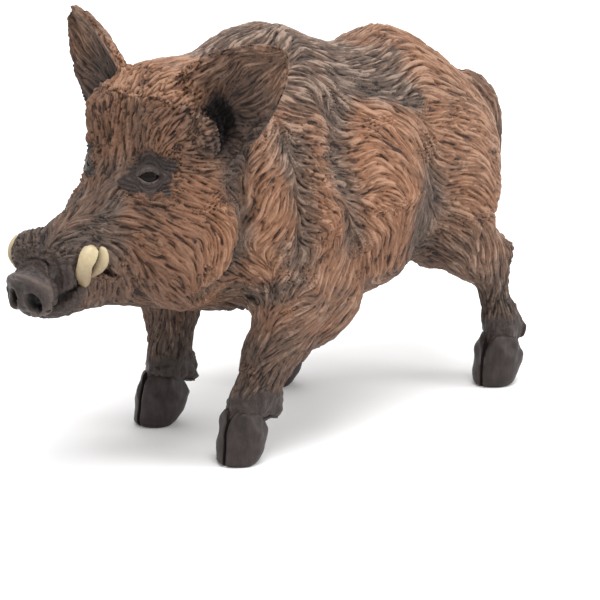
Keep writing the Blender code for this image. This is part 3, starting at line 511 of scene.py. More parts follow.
class Comb:
    """The way that the hair lies anywhere, in a grid of vectors.

    Each place of the table LIE, and its twin on the right, pulls on a grid point with the weight
    1 / (distance^2 + 2)^3, and a slow random wave bends the result.
    """

    STEP = 1.2
    LOW = np.array((-22.0, -52.0, -2.0))
    HIGH = np.array((22.0, 50.0, 62.0))

    def __init__(self, wave):
        rows = np.array(LIE)
        twin = rows * (-1, 1, 1, -1, 1, 1)
        rows = np.vstack([rows, twin[rows[:, 0] > ON_MIDDLE]])
        axes = [np.arange(self.LOW[k], self.HIGH[k] + self.STEP, self.STEP) for k in range(3)]
        self.shape = tuple(len(axis) for axis in axes)
        points = np.stack(np.meshgrid(*axes, indexing="ij"), -1).reshape(-1, 3)
        ways = np.zeros_like(points)
        for chunk in np.array_split(np.arange(len(points)), 40):
            ways[chunk] = (1 / (squared_gaps(points[chunk], rows) + 2) ** 3) @ rows[:, 3:]
        ways = unit(ways)
        bend = np.stack([Lattice(70 + k).at(points, WAVE_LENGTH) for k in range(3)], -1)
        self.ways = unit(ways + wave * bend).astype(np.float32)

    def at(self, points):
        """The ways at the points, read in straight lines between the grid's points."""
        place = (points - self.LOW) / self.STEP
        low = np.clip(np.floor(place).astype(np.int64), 0, np.array(self.shape) - 2)
        t = np.clip(place - low, 0, 1).astype(np.float32)
        total = 0
        for corner in np.ndindex(2, 2, 2):
            wx, wy, wz = (t[:, axis] if far else 1 - t[:, axis] for axis, far in enumerate(corner))
            i, j, k = (low[:, axis] + far for axis, far in enumerate(corner))
            row = (i * self.shape[1] + j) * self.shape[2] + k
            total = total + (wx * wy * wz)[:, None] * self.ways[row]
        return total

    def on_skin(self, points, normals):
        """The ways at the points, each laid into its point's tangent plane and made of length one."""
        ahead = self.at(points)
        ahead -= normals * (ahead * normals).sum(1, keepdims=True)
        return unit(ahead)


def drawn_out(points, normals, comb, sets):
    """Random numbers drawn out along the hair.

    Each point walks with the hair and against it, keeping to its own tangent plane, and adds up the
    numbers that it meets. A set is (lattice, cell in mm, reach in mm, both ways): going both ways the
    weight falls from 1 to 0 as a cosine, and going one way it falls in a straight line, so a random spot
    becomes a lock that rises towards its tip and ends there.
    """
    totals = [lattice.at(points, cell).astype(np.float32) for lattice, cell, _, _ in sets]
    for way in (1, -1):
        place = points.astype(np.float32)
        farthest = max(reach for _, _, reach, both in sets if both or way == 1)
        for count in range(1, int(farthest / STRIDE) + 1):
            place = place + way * STRIDE * comb.on_skin(place, normals)
            gone = count * STRIDE
            for k, (lattice, cell, reach, both) in enumerate(sets):
                if gone <= reach and (both or way == 1):
                    share = gone / reach
                    weight = 0.5 + 0.5 * math.cos(math.pi * share) if both else 1 - share
                    totals[k] += weight * lattice.at(place, cell)
    return totals


# ---------------------------------------------------------------- meshes


def edge_ends(faces):
    """The points at which each edge of each face starts and ends."""
    return faces.ravel(), np.roll(faces, -1, axis=1).ravel()


def gathered(index, values, length):
    """Rows of three values added up by their index."""
    return np.stack([np.bincount(index, values[:, k], length) for k in range(3)], -1)


def quad_normals(points, quads):
    """Each point's normal: the cross products of the diagonals of the faces round it, added up."""
    face = np.cross(points[quads[:, 2]] - points[quads[:, 0]], points[quads[:, 3]] - points[quads[:, 1]])
    corners = quads.ravel()
    return unit(np.stack([np.bincount(corners, np.repeat(face[:, k], 4), len(points)) for k in range(3)], -1))


def relaxed(points, quads, share, rounds):
    """Evens out a closed surface: in each round every point goes part of the way to the mean of its
    neighbours, and then slightly further back, so that bumps go and the girth stays."""
    start, end = edge_ends(quads)
    count = np.bincount(start, minlength=len(points))[:, None]
    for _ in range(rounds):
        for pull in (0.6, -0.61):
            mean = gathered(start, points[end], len(points)) / count
            points = points + pull * share[:, None] * (mean - points)
    return points


def divided(points, quads):
    """One Catmull-Clark division of a closed mesh of quads: each face's mean, each edge's mean with its
    two faces, and each old point at (F + 2 E + (n - 3) P) / n, where F and E are the means of the face
    points and edge middles round it and n is their number."""
    count = len(points)
    start, end = edge_ends(quads)
    key = np.minimum(start, end).astype(np.int64) * count + np.maximum(start, end)
    edges, which = np.unique(key, return_inverse=True)
    first, second = edges // count, edges % count
    face_points = points[quads].mean(1)
    owner = np.repeat(np.arange(len(quads)), 4)
    middles = (points[first] + points[second]) / 2
    edge_points = (middles + gathered(which, face_points[owner], len(edges)) / 2) / 2
    number = np.bincount(start, minlength=count)[:, None]
    faces_round = gathered(start, face_points[owner], count) / number
    edges_round = (gathered(first, middles, count) + gathered(second, middles, count)) / number
    moved = (faces_round + 2 * edges_round + (number - 3) * points) / number
    edge = count + which.reshape(-1, 4)
    centre = np.broadcast_to(count + len(edges) + np.arange(len(quads))[:, None], (len(quads), 4))
    smaller = np.stack([quads, edge, centre, np.roll(edge, 1, axis=1)], -1).reshape(-1, 4)
    return np.vstack([moved, edge_points, face_points]), smaller


def mesh_of(name, points, faces, scale=1.0):
    """A mesh from arrays whose faces all have the same number of corners."""
    mesh = bpy.data.meshes.new(name)
    faces = np.asarray(faces)
    mesh.vertices.add(len(points))
    mesh.vertices.foreach_set("co", (np.asarray(points) * scale).astype(np.float32).ravel())
    mesh.loops.add(faces.size)
    mesh.loops.foreach_set("vertex_index", faces.ravel().astype(np.int32))
    mesh.polygons.add(len(faces))
    mesh.polygons.foreach_set("loop_start", np.arange(0, faces.size, faces.shape[1], dtype=np.int32))
    mesh.update(calc_edges=True)
    mesh.validate()
    return mesh


def arrays_of(mesh, corners):
    """A mesh's points and its faces, which all have that number of corners."""
    points = np.empty(len(mesh.vertices) * 3, np.float32)
    mesh.vertices.foreach_get("co", points)
    faces = np.empty(len(mesh.loops), np.int32)
    mesh.loops.foreach_get("vertex_index", faces)
    return points.reshape(-1, 3).astype(float), faces.reshape(-1, corners)


def reworked(mesh, work, source=None):
    """Runs `work` on the faces of a mesh, or of its source, in a form that can be edited, and puts the
    result into the mesh."""
    shape = bmesh.new()
    shape.from_mesh(source or mesh)
    work(shape)
    shape.to_mesh(mesh)
    shape.free()
    return mesh


def shade_smooth(shape):
    """Rounds the look of all faces."""
    for face in shape.faces:
        face.smooth = True


def turn_outwards(shape):
    """Makes all faces of a closed shape point outwards, and rounds their look."""
    bmesh.ops.recalc_face_normals(shape, faces=shape.faces)
    shade_smooth(shape)


def closed_mesh(name, rows):
    """A closed surface from rows of points in mm: quads between rows, and the first and last rows drawn
    together into poles."""
    rows = np.asarray(rows, float)
    count, around = rows.shape[:2]
    body = rows[1:-1].reshape(-1, 3)
    points = np.vstack([body, rows[0].mean(0), rows[-1].mean(0)])
    grid = np.arange((count - 2) * around).reshape(count - 2, around)
    after = np.roll(grid, -1, axis=1)
    quads = np.stack([grid[:-1], after[:-1], after[1:], grid[1:]], -1).reshape(-1, 4)
    fans = np.vstack([
        np.column_stack([after[0], grid[0], np.full(around, len(body))]),
        np.column_stack([grid[-1], after[-1], np.full(around, len(body) + 1)]),
    ])
    mesh = bpy.data.meshes.new(name)
    mesh.from_pydata((points * MM).tolist(), [], quads.tolist() + fans.tolist())
    return reworked(mesh, turn_outwards)


def joined(name, meshes):
    """Several meshes as one."""
    shape = bmesh.new()
    for mesh in meshes:
        shape.from_mesh(mesh)
        bpy.data.meshes.remove(mesh)
    mesh = bpy.data.meshes.new(name)
    shape.to_mesh(mesh)
    shape.free()
    return mesh


def finished(name, mesh, material, slot, *nodes):
    """Puts a mesh into the scene as a piece that rides on the figure, takes a finish and stands for
    solids."""
    obj = bpy.data.objects.new(name, mesh)
    bpy.context.scene.collection.objects.link(obj)
    mesh.materials.append(material)
    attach(obj, "root")
    if nodes:
        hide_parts(*nodes)
    return obj


# ---------------------------------------------------------------- the casting


def merge_to_triangles(shape):
    """Merges doubled points and splits the faces into triangles."""
    bmesh.ops.remove_doubles(shape, verts=shape.verts, dist=2e-6)
    bmesh.ops.triangulate(shape, faces=shape.faces)


def swollen_solid(name, by):
    """A solid's triangles, its doubled points merged and every point moved out by `by` mm."""
    mesh = reworked(bpy.data.meshes.new("solid"), merge_to_triangles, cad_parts[name].data)
    points, faces = arrays_of(mesh, 3)
    normals = np.empty(points.size, np.float32)
    mesh.vertex_normals.foreach_get("vector", normals)
    bpy.data.meshes.remove(mesh)
    return points / MM + by * normals.reshape(-1, 3), faces


def melted(points, faces):
    """Closed surfaces that overlap, as one mesh of quads on a grid of VOXEL mm."""
    obj = bpy.data.objects.new("casting", mesh_of("casting", points, faces))
    bpy.context.scene.collection.objects.link(obj)
    melt = obj.modifiers.new("Melt", "REMESH")
    melt.mode = "VOXEL"
    melt.voxel_size = VOXEL
    shaped = obj.evaluated_get(bpy.context.evaluated_depsgraph_get())
    result = arrays_of(shaped.to_mesh(), 4)
    shaped.to_mesh_clear()
    mesh = obj.data
    bpy.data.objects.remove(obj)
    bpy.data.meshes.remove(mesh)
    return result


def plug(middle, radii):
    """An ellipsoid as triangles, its points at radii times (sin a cos b, sin a sin b, cos a)."""
    rings, around = 12, 24
    a = np.linspace(0, math.pi, rings + 2)[1:-1, None]
    b = turns(around)[None]
    ball = np.stack([np.sin(a) * np.cos(b), np.sin(a) * np.sin(b), np.cos(a) + 0 * b], -1).reshape(-1, 3)
    ball = np.vstack([ball, (0, 0, 1), (0, 0, -1)]) * radii + middle
    grid = np.arange(rings * around).reshape(rings, around)
    after = np.roll(grid, -1, axis=1)
    faces = np.vstack([
        np.stack([grid[:-1], grid[1:], after[1:]], -1).reshape(-1, 3),
        np.stack([grid[:-1], after[1:], after[:-1]], -1).reshape(-1, 3),
        np.column_stack([grid[0], after[0], np.full(around, grid.size)]),
        np.column_stack([after[-1], grid[-1], np.full(around, grid.size + 1)]),
    ])
    return ball, faces


def outer_shell(points, quads):
    """The largest of the closed surfaces that a mesh holds. Each point takes the lowest number in reach,
    edge by edge, until nothing changes."""
    start, end = edge_ends(quads)
    number = np.arange(len(points))
    while True:
        lowest = number.copy()
        np.minimum.at(lowest, start, number[end])
        np.minimum.at(lowest, end, number[start])
        lowest = lowest[lowest]
        if np.array_equal(lowest, number):
            break
        number = lowest
    kept = number == np.bincount(number).argmax()
    order = np.cumsum(kept) - 1
    return points[kept], order[quads[kept[quads[:, 0]]]]


def ear_axes():
    """Unit vectors from the ear's root to its tip, across it downwards, and the way that it faces."""
    along = unit(np.subtract(EAR_TIP, EAR_ROOT))
    front = np.array(EAR_FRONT)
    front = unit(front - along * front.dot(along))
    return along, np.cross(front, along), front


def in_ear(points):
    """1 on the ears, 0 elsewhere, softly parted at their roots. The points are on the left side."""
    along, down, front = ear_axes()
    local = points - np.array(EAR_ROOT)
    past_root = smooth(0.8, 3.0, local @ along)
    return past_root * smooth(4.4, 3.4, np.abs(local @ front)) * smooth(-8.5, -7.5, -np.abs(local @ down))


def cast_body():
    """The whole body as one closed skin: the solids swell until they overlap, melt into one surface,
    and are evened out, thin parts less than the rest. The skin is then set in and divided once."""
    flesh = dict.fromkeys(name for solids in COAT.values() for name in solids)
    solids = [swollen_solid(name, SWELL) for name in flesh]
    solids += [swollen_solid(f"eye_{word}", SWELL + EYES_SWELL_MORE) for word, _ in SIDES]
    solids += [plug(np.array(middle) * (side, 1, 1), radii) for middle, radii in PLUGS for _, side in SIDES]
    before = np.cumsum([0] + [len(points) for points, _ in solids])
    faces = np.vstack([faces + first for (_, faces), first in zip(solids, before)])
    points, quads = outer_shell(*melted(np.vstack([points for points, _ in solids]), faces))
    left = folded(points)
    _, y, z = left.T
    ear, snout, foot, tail = in_ear(left), smooth(-42.5, -44.5, y), smooth(8.0, 5.5, z), smooth(43.8, 44.6, y)
    thin = np.maximum.reduce([ear, snout, foot, tail])
    points = relaxed(points, quads, 1 - THIN_HELD * thin, EVENING_ROUNDS)
    points = points - (SWELL + SINK) * quad_normals(points, quads) * (1 - 0.5 * ear)[:, None]
    return divided(points, quads)


class Skin:
    """The skin while it is sculpted: points and normals in mm, and what the paint needs at each point."""

    def __init__(self):
        self.points, self.quads = cast_body()
        self.normals = quad_normals(self.points, self.quads)
        self.rest = self.points.copy()
        self.left = folded(self.rest)
        self.mirror = side_factors(self.rest)
        self.shade = np.zeros(len(self.points))
        self.valley = np.zeros(len(self.points))
        self.bare = np.zeros(len(self.points))

    def raise_by(self, height):
        """Moves each point along its normal."""
        self.points = self.points + height[:, None] * self.normals

    def settle(self):
        """Works the normals out again after a move."""
        self.normals = quad_normals(self.points, self.quads)

    def on_skin(self, line):
        """The line's points, each moved to the skin's nearest point."""
        line = line.copy()
        near = near_line(self.left, line, 3)
        for row in line:
            row[:3] = self.left[near[((self.left[near] - row[:3]) ** 2).sum(1).argmin()]]
        line[1:-1, :3] = (line[:-2, :3] + 2 * line[1:-1, :3] + line[2:, :3]) / 4
        return line


# ---------------------------------------------------------------- sculpting


def fold_in(skin, table, way):
    """Presses creases in or raises rolls: a bell of the distance from each line, fading out at its ends.
    A narrow crease is darkened with painted shade, and a wide one lies in a valley of the paint."""
    for name, (height, width, line) in table.items():
        line = skin.on_skin(catmull_rom(line, 10))
        distance, share = nearest_on(skin.left, line, 3 * width)
        start = 1 if abs(line[0, 0]) < ON_MIDDLE else smooth(-0.01, 0.18, share)
        fade = start * smooth(1.01, 0.85, share)
        skin.raise_by(way * height * (fade * bell(distance, width)))
        if way < 0 and width < NARROW:
            # Painted shade along a narrow crease.
            skin.shade += height * fade * bell(distance, 0.8 * width)
        elif way < 0:
            low = 1 - 0.7 * smooth(31, 37, skin.left[:, 2]) * (name == "flank")
            skin.valley = np.maximum(skin.valley, low * fade * bell(distance, 1.25 * width))
    skin.settle()


def push(skin):
    """Moves the skin by each row of PUSHES: its last three numbers times exp(-(distance / reach)^2)."""
    moved = np.zeros_like(skin.points)
    for px, py, pz, reach, *way in PUSHES:
        gap = ((skin.rest - (px, py, pz)) ** 2).sum(1)
        moved += np.exp(-gap / reach**2)[:, None] * way
    skin.points = skin.points + moved
    skin.settle()


def shape_snout(skin):
    """The snout: a disc with a rim, a shallow dish and a furrow down its middle, a groove and a wrinkled
    neck behind it, creased leather over the muzzle, and two pits for the nostrils. With r the share of
    the disc's oval at which a point lies, 1 on its edge, rim and groove are bells over r, and the neck's
    wrinkles are a cosine of the way back from the disc."""
    wide, high, level = SNOUT_DISC
    x, y, z = skin.left.T
    ring = np.hypot(x / wide, (z - level) / high)
    front = smooth(-44.6, -45.8, y)
    skin.points[:, 1] += front * 0.07 * np.minimum(x, 3.2) ** 2
    skin.points[:, 1] += 2.2 * smooth(29.9, 31.6, z) * smooth(-43.4, -46.0, y)
    dish = smooth(0.9, 0.6, ring)
    furrow = bell(x, 0.5) * dish
    skin.raise_by(front * (0.34 * bell(ring, 0.12, 0.93) - 0.16 * dish - 0.12 * furrow))

    leather = 0.62 * smooth(-38.0, -41.5, y) * smooth(33.0, 31.5, z) * (1 - 0.5 * (skin.rest[:, 0] < -2))
    leather = np.maximum(leather, 0.5 * smooth(-42.0, -43.8, y))
    disc = smooth(-43.6, -45.4, y) * smooth(1.35, 1.1, ring)
    skin.bare = np.maximum(skin.bare, np.maximum(leather, disc))
    fold = np.abs(Lattice(45).at(skin.rest, 1.1))
    skin.raise_by(leather * 0.4 * (fold - 0.3))
    # Painted shade in the leather's creases and over the dish of the disc's face.
    skin.shade += 0.5 * leather * smooth(0.15, 0.0, fold) + 0.35 * front * dish

    neck = smooth(1.12, 1.25, ring) * smooth(-42.0, -43.0, y) * smooth(25.5, 27.0, z)
    wrinkles = np.cos(2 * math.pi * (y + 0.03 * x**2 + 0.25 * fold) / WRINKLE_SPACING)
    skin.raise_by(0.14 * neck * wrinkles)
    # Painted highlight along the disc's rim and on the crests of the neck's wrinkles.
    skin.worn = 1.1 * front * bell(ring, 0.12, 0.97) + 0.4 * neck * np.maximum(wrinkles, 0)

    beside = x - NOSTRIL[0]
    half_wide = np.where(skin.rest[:, 0] > 0, 1.05, 0.8)
    pit = np.hypot(beside / half_wide, (z - NOSTRIL[2] + 0.25 * beside) / 1.2)
    skin.points[:, 1] += NOSTRIL_DEPTH * (smooth(1.15, 0.55, pit) * front)
    skin.raise_by(0.16 * front * bell(pit, 0.3, 1.35))
    # Painted shade in the nostrils.
    skin.shade += 1.3 * smooth(1.1, 0.7, pit) * front
    groove = bell(ring, 0.09, 1.16) * smooth(-43.0, -44.2, y)
    skin.raise_by(-0.16 * groove)
    # Painted shade in the groove round the disc.
    skin.shade += 0.4 * groove
    skin.settle()


def cup_ears(skin):
    """Sinks the hole at the ear's root, and on the ear's inner face raises the rim and deepens the hollow,
    by how far out a point lies across the ear, as a share of the ear's half width there."""
    along, down, front = ear_axes()
    local = skin.left - np.array(EAR_ROOT)
    hole = np.linalg.norm((skin.left - EAR_HOLE) / EAR_HOLE_RADII, axis=1)
    skin.points += smooth(1.25, 0.35, hole)[:, None] * np.array(EAR_HOLE_SUNK) * skin.mirror
    # Where the ear's hole takes painted shadow, laid on in cut_brow.
    skin.hole = smooth(1.5, 0.6, hole)
    skin.settle()
    skin.ear = in_ear(skin.left)
    reach = (local @ along) / np.linalg.norm(np.subtract(EAR_TIP, EAR_ROOT))
    edge = np.abs(local @ down) / np.interp(reach, *np.transpose(EAR_HALF_WIDTHS))
    inner = skin.ear * smooth(0.0, 0.5, (skin.normals * skin.mirror) @ front)
    skin.raise_by(inner * (0.22 * smooth(0.72, 0.9, edge) - 0.32 * smooth(0.85, 0.3, edge)))
    # Painted shade in the hollow of the ear's inner face.
    skin.shade += 0.55 * inner * smooth(0.9, 0.5, edge) * smooth(0.9, 0.1, reach)
    skin.settle()


def cut_brow(skin):
    """The brow's sharp edge: in front the skin rises as exp(s / BROW_RUN) to it, and behind it falls to the
    crown as exp(-s / w), where s is how far a point lies past the edge, notched at random, and w is less
    towards the ear."""
    x, y, z = skin.left.T
    top, side = np.array(BROW_TOP).T, np.array(BROW_SIDE).T
    over = 0.72 * (y - np.interp(x, top[0], top[1])) + 0.70 * (z - np.interp(x, top[0], top[2]))
    aside = y - np.interp(z, side[0], side[1])
    past = np.maximum(over, np.where(x > 6.0, aside, -9.0) - 6 * smooth(8.0, 6.0, x))
    past = past + 0.2 * Lattice(31).at(skin.rest, 0.9)
    near = smooth(6.0, 3.0, np.abs(past)) * smooth(42.0, 44.5, z) * smooth(13.5, 10.5, x)
    near = near * smooth(-33, -30, y)
    wrap = 1.7 - 1.2 * smooth(6.5, 9.0, x)
    edge = BROW_HEIGHT * np.exp(np.where(past > 0, -past / wrap, past / BROW_RUN))
    skin.raise_by(near * edge)
    skin.before_brow = smooth(0.2, -0.2, past)
    # Painted shadow in the ear's hole, kept off the forehead in front of the brow's edge.
    skin.shade += 1.1 * skin.hole * (1 - skin.before_brow)
    # A painted highlight along the brow's edge.
    skin.ledge = near * bell(past, 0.5)
    skin.settle()


def eye_ball():
    """Middle and radius of the left eye, in mm."""
    low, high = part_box("eye_left")
    return np.array((low + high) / 2) / MM, (high[0] - low[0]) / 2 / MM


def eye_axes():
    """Unit vectors along the eye's opening to its outer corner, up across it, and outwards."""
    out = unit(np.array(EYE_OUT))
    along = np.array(EYE_LONG)
    along = unit(along - out * along.dot(out))
    up = np.cross(along, out)
    return along, up if up[2] > 0 else -up, out


def opening_share(across, up):
    """How far out a place is from the middle of the almond opening: 1 on its edge. The half height falls
    off towards the corners as 1 - ALMOND t^2."""
    t = (across - OPENING_SHIFT[0]) / OPENING[0]
    height = OPENING[1] * np.maximum(1 - ALMOND * t**2, 0.5)
    return np.sqrt(t**2 + ((up - OPENING_SHIFT[1]) / height) ** 2)


def open_eyes(skin, wrinkles=False):
    """Sinks the skin inside the eyeball over the almond opening, keeps it outside the ball elsewhere, and
    bares it all round, less on the right. The bare patch is an oval joined to a smaller one at the inner
    corner, with a ragged edge. The wrinkles are a sine of the opening's share, and a bag below it."""
    middle, radius = eye_ball()
    along, up, out = eye_axes()
    near = np.flatnonzero(np.linalg.norm(skin.left - middle, axis=1) < EYE_REACH)
    local = folded(skin.points[near]) - middle
    across, rise, forth = local @ along, local @ up, local @ out
    share = opening_share(across, rise)
    reach = np.linalg.norm(local, axis=1)
    facing = smooth(-0.5, 0.3, forth)
    inside = smooth(1.1, 0.92, share) * smooth(0.2, 0.8, forth)
    over, under = np.maximum(reach, radius + EYE_COVER), np.minimum(reach, radius - EYE_SINK)
    target = over * (1 - inside) + under * inside
    side = np.where(skin.rest[near, 0] < 0, -1.0, 1.0)
    moved = local * (1 + facing * (target / np.maximum(reach, 0.1) - 1))[:, None] + middle
    skin.points[near] = np.column_stack([moved[:, 0] * side, moved[:, 1:]])
    skin.settle()
    far = side < 0
    oval = np.hypot((across - 0.4 - 0.7 * far) / BARE_ROUND_EYE[0], (rise - 0.3) / BARE_ROUND_EYE[1])
    corner = np.hypot((across + 1.7) / 2.0, (rise + 0.9) / 1.3)
    ragged = 0.26 * Lattice(44).at(skin.rest[near], 1.1)
    oval = (np.minimum(oval, corner) + ragged) * (1 + 0.7 * far)
    skin.bare[near] = np.maximum(skin.bare[near], smooth(1.35, 0.6, oval) * facing)
    if not wrinkles:
        return
    turn = np.arctan2(rise, across)
    fold = np.sin(2 * math.pi * (share * 1.15 + 0.12 * np.sin(2 * turn + 0.8)))
    height = np.zeros(len(skin.points))
    height[near] = 0.15 * fold * smooth(1.25, 1.6, share) * smooth(1.2, 0.95, oval) * facing
    height[near] += 0.16 * bell(share, 0.2, 1.32) * facing * (1 + 0.5 * np.sin(turn))
    # Painted shade in the crease round the opening.
    skin.shade[near] += 0.35 * bell(share, 0.16, 1.75) * facing
    skin.raise_by(height)
    skin.settle()


def shape_feet(skin):
    """Draws in the heel under the dewclaws, scales each slice of a foot about its own middle by
    FOOT_WIDTHS, but less where the web fills the cleft, hangs the two dewclaws behind it as rounded
    lobes, and bares and folds its skin."""
    z = skin.rest[:, 2]
    heights, widths = np.array(FOOT_WIDTHS).T
    slices = np.arange(heights[0], heights[-1] + SLICE, SLICE)
    for name, (fx, fy, _, _) in FEET.items():
        behind, level, reach, own = DEWCLAWS[name.split("_")[0]]
        away = np.hypot(*(skin.rest[:, :2] - (fx, fy)).T)
        members = np.flatnonzero((away < FOOT_REACH) & (z < heights[-1]))
        height = z[members]
        drawn = HEEL_DRAWN + (own - HEEL_DRAWN) * smooth(level - 2.3, level - 1.5, height)
        heel = np.maximum(skin.points[members, 1] - fy - 2.0, 0)
        skin.points[members, 1] -= heel * drawn * smooth(12.0, 9.0, height)

        number = ((height - (heights[0] - SLICE / 2)) // SLICE).astype(int)
        count = np.maximum(np.bincount(number), 1)
        means = [np.bincount(number, skin.points[members, k]) / count for k in (0, 1)]
        middle = np.column_stack([np.interp(height, slices[: len(count)], mean) for mean in means])
        web = bell(skin.rest[members, 0], 0.9, fx) * (skin.rest[members, 1] < fy)
        scale = np.interp(height, heights, widths)
        scale = (scale + 1.15 * (1 - scale) * web * smooth(7.6, 6.6, height))[:, None]
        skin.points[members, :2] = middle + scale * (skin.points[members, :2] - middle)

        for side in (-1, 1):
            place = (skin.rest[members] - (fx + DEWCLAW_ASIDE * side, fy + behind, level)) / DEWCLAW_RADII
            lobe = smooth(1.15, 0.3, np.linalg.norm(place, axis=1))
            skin.points[members] += reach * lobe[:, None] * (0.25 * side, 1.0, -0.9)
    skin.settle()
    ragged = 0.9 * Lattice(41).at(skin.rest, 1.6)
    foot = smooth(10.6, 7.8, z + ragged) * smooth(4.0, 6.0, skin.left[:, 0])
    skin.bare = np.maximum(skin.bare, foot)
    fold = np.abs(Lattice(42).at(skin.rest * (1, 1, 0.7), 1.7)) + 0.4 * np.abs(Lattice(43).at(skin.rest, 0.9))
    skin.raise_by(foot * 0.5 * (fold - 0.45))
    # Painted shade in the folds of the foot's skin and just above the claws.
    skin.shade += foot * 0.5 * smooth(0.22, 0.0, fold) + 0.3 * smooth(6.6, 5.8, z)
    skin.settle()


def grow_hair(skin, coat):
    """Carves the coat: flat strands between narrow grooves, drawn out along the hair at three widths, and
    locks whose tips stand over the next ones. A strand is 1.4 - 2.2 exp(-1.3 |g|), where g is a random
    number drawn out along the hair, in units of its own spread."""
    comb = Comb(coat.wave)
    width = coat.strand_width / MM
    sets = [(Lattice(seed, sparse), cell * width, reach, both) for seed, sparse, cell, reach, both in STRANDS]
    drawn = drawn_out(skin.rest, skin.normals.astype(np.float32), comb, sets)
    strand, fine, clump = (1.4 - 2.2 * np.exp(-1.3 * np.abs(part / part.std())) for part in drawn[:3])
    lock, small = (1.6 * np.clip(part / np.percentile(part, 97), 0, 1.2) for part in drawn[3:])
    x, y, z = skin.left.T
    face = smooth(-17.5, -23, y)
    leg = smooth(21, 13, z) * smooth(4.5, 6.5, x)
    jowl = smooth(40, 36, z) * smooth(-38, -33, y)
    tight = np.clip(face * (1 - 0.8 * jowl) + leg + skin.ear, 0, 1)
    long_hair = 0.46 * strand + 0.42 * clump + 0.45 * lock
    short_hair = 0.55 * fine + 0.26 * clump + 0.36 * small
    relief = long_hair * (1 - tight) + short_hair * tight
    relief = np.clip(0.56 + (0.24 + 0.10 * face) * (relief - relief.mean()) / relief.std(), 0, 1)
    muzzle = smooth(-34, -40, y)
    depth = coat.hair_depth / MM * (1 - 0.08 * face - 0.25 * muzzle - 0.25 * leg - 0.2 * skin.ear)
    depth = depth * (1 - 0.9 * skin.bare) * smooth(0.0, 1.2, z - CORONET + 0.4)
    skin.bed, skin.under = skin.points, skin.normals
    skin.raise_by(depth * (relief - 0.55))
    skin.relief = relief * (1 - skin.bare) + 0.45 * skin.bare
    skin.grain = 0.5 + 0.35 * fine
    skin.lie = comb.on_skin(skin.rest.astype(np.float32), skin.normals)
    skin.settle()


def mix_tones(skin):
    """Warm, light and dark at each point: the rows of TONES weighted by 1 / (distance^2 + 4)^2.5, then
    greyer and darker in valleys, less pale on the face, and with a painted highlight along the brow's edge."""
    rows = np.array(TONES)
    tones = np.zeros((len(skin.left), 3))
    for chunk in np.array_split(np.arange(len(skin.left)), 60):
        weight = (squared_gaps(skin.left[chunk], rows) + 4) ** -2.5
        tones[chunk] = (weight @ rows[:, 3:]) / weight.sum(1, keepdims=True)
    skin.warm, skin.light, skin.dark = tones.T
    _, y, z = skin.left.T
    high = smooth(41.0, 44.0, z)
    face = (1 - high) * smooth(-22, -26, y) + high * skin.before_brow * smooth(-19, -21, y)
    face = face * (1 - skin.ear)
    skin.warm = skin.warm - 0.5 * skin.valley
    skin.light = skin.light * (1 - 0.3 * skin.valley) * (1 - 0.5 * face) + 0.9 * skin.ledge
    skin.dark = skin.dark + 0.16 * skin.valley + 0.2 * face


# ---------------------------------------------------------------- pieces of the coat


def coat_labels(points):
    """The number of the coat's piece for each point: the last of CUTS in front of which it lies, the rump
    behind them all, and below LEG_TOP a pair of legs."""
    _, y, z = points.T
    names = list(COAT)
    label = np.full(len(points), names.index("coat_rump"))
    for name, level, slope in CUTS:
        label[y < level + slope * z] = names.index(name)
    label[(z < LEG_TOP) & (y < BETWEEN_LEGS)] = names.index("coat_forelegs")
    label[(z < LEG_TOP) & (y > BETWEEN_LEGS) & (y < TAIL_FRONT)] = names.index("coat_hindlegs")
    return label


def chart(points, axis, from_end):
    """Where each point of a tube lies on its unrolled side: the angle round the tube's own middle line,
    which is the mean of its points in slices of 1 mm, and the way along it plus `from_end` times the
    distance from that line, so that a closed end spreads out too."""
    across = [k for k in range(3) if k != axis]
    level = points[:, axis]
    slices = np.floor(level - level.min()).astype(int)
    filled = np.bincount(slices) > 0
    count = np.maximum(np.bincount(slices), 1)
    middles = np.arange(len(count)) + 0.5 + level.min()
    offset = []
    for k in across:
        mean = (np.bincount(slices, points[:, k]) / count)[filled]
        if len(mean) > 4:
            mean = np.convolve(np.pad(mean, 2, mode="edge"), np.ones(5) / 5, mode="valid")
        offset.append(points[:, k] - np.interp(level, middles[filled], mean))
    turn = np.arctan2(offset[0], offset[1]) / (2 * math.pi) + 0.5
    return turn, level + from_end * np.hypot(*offset)


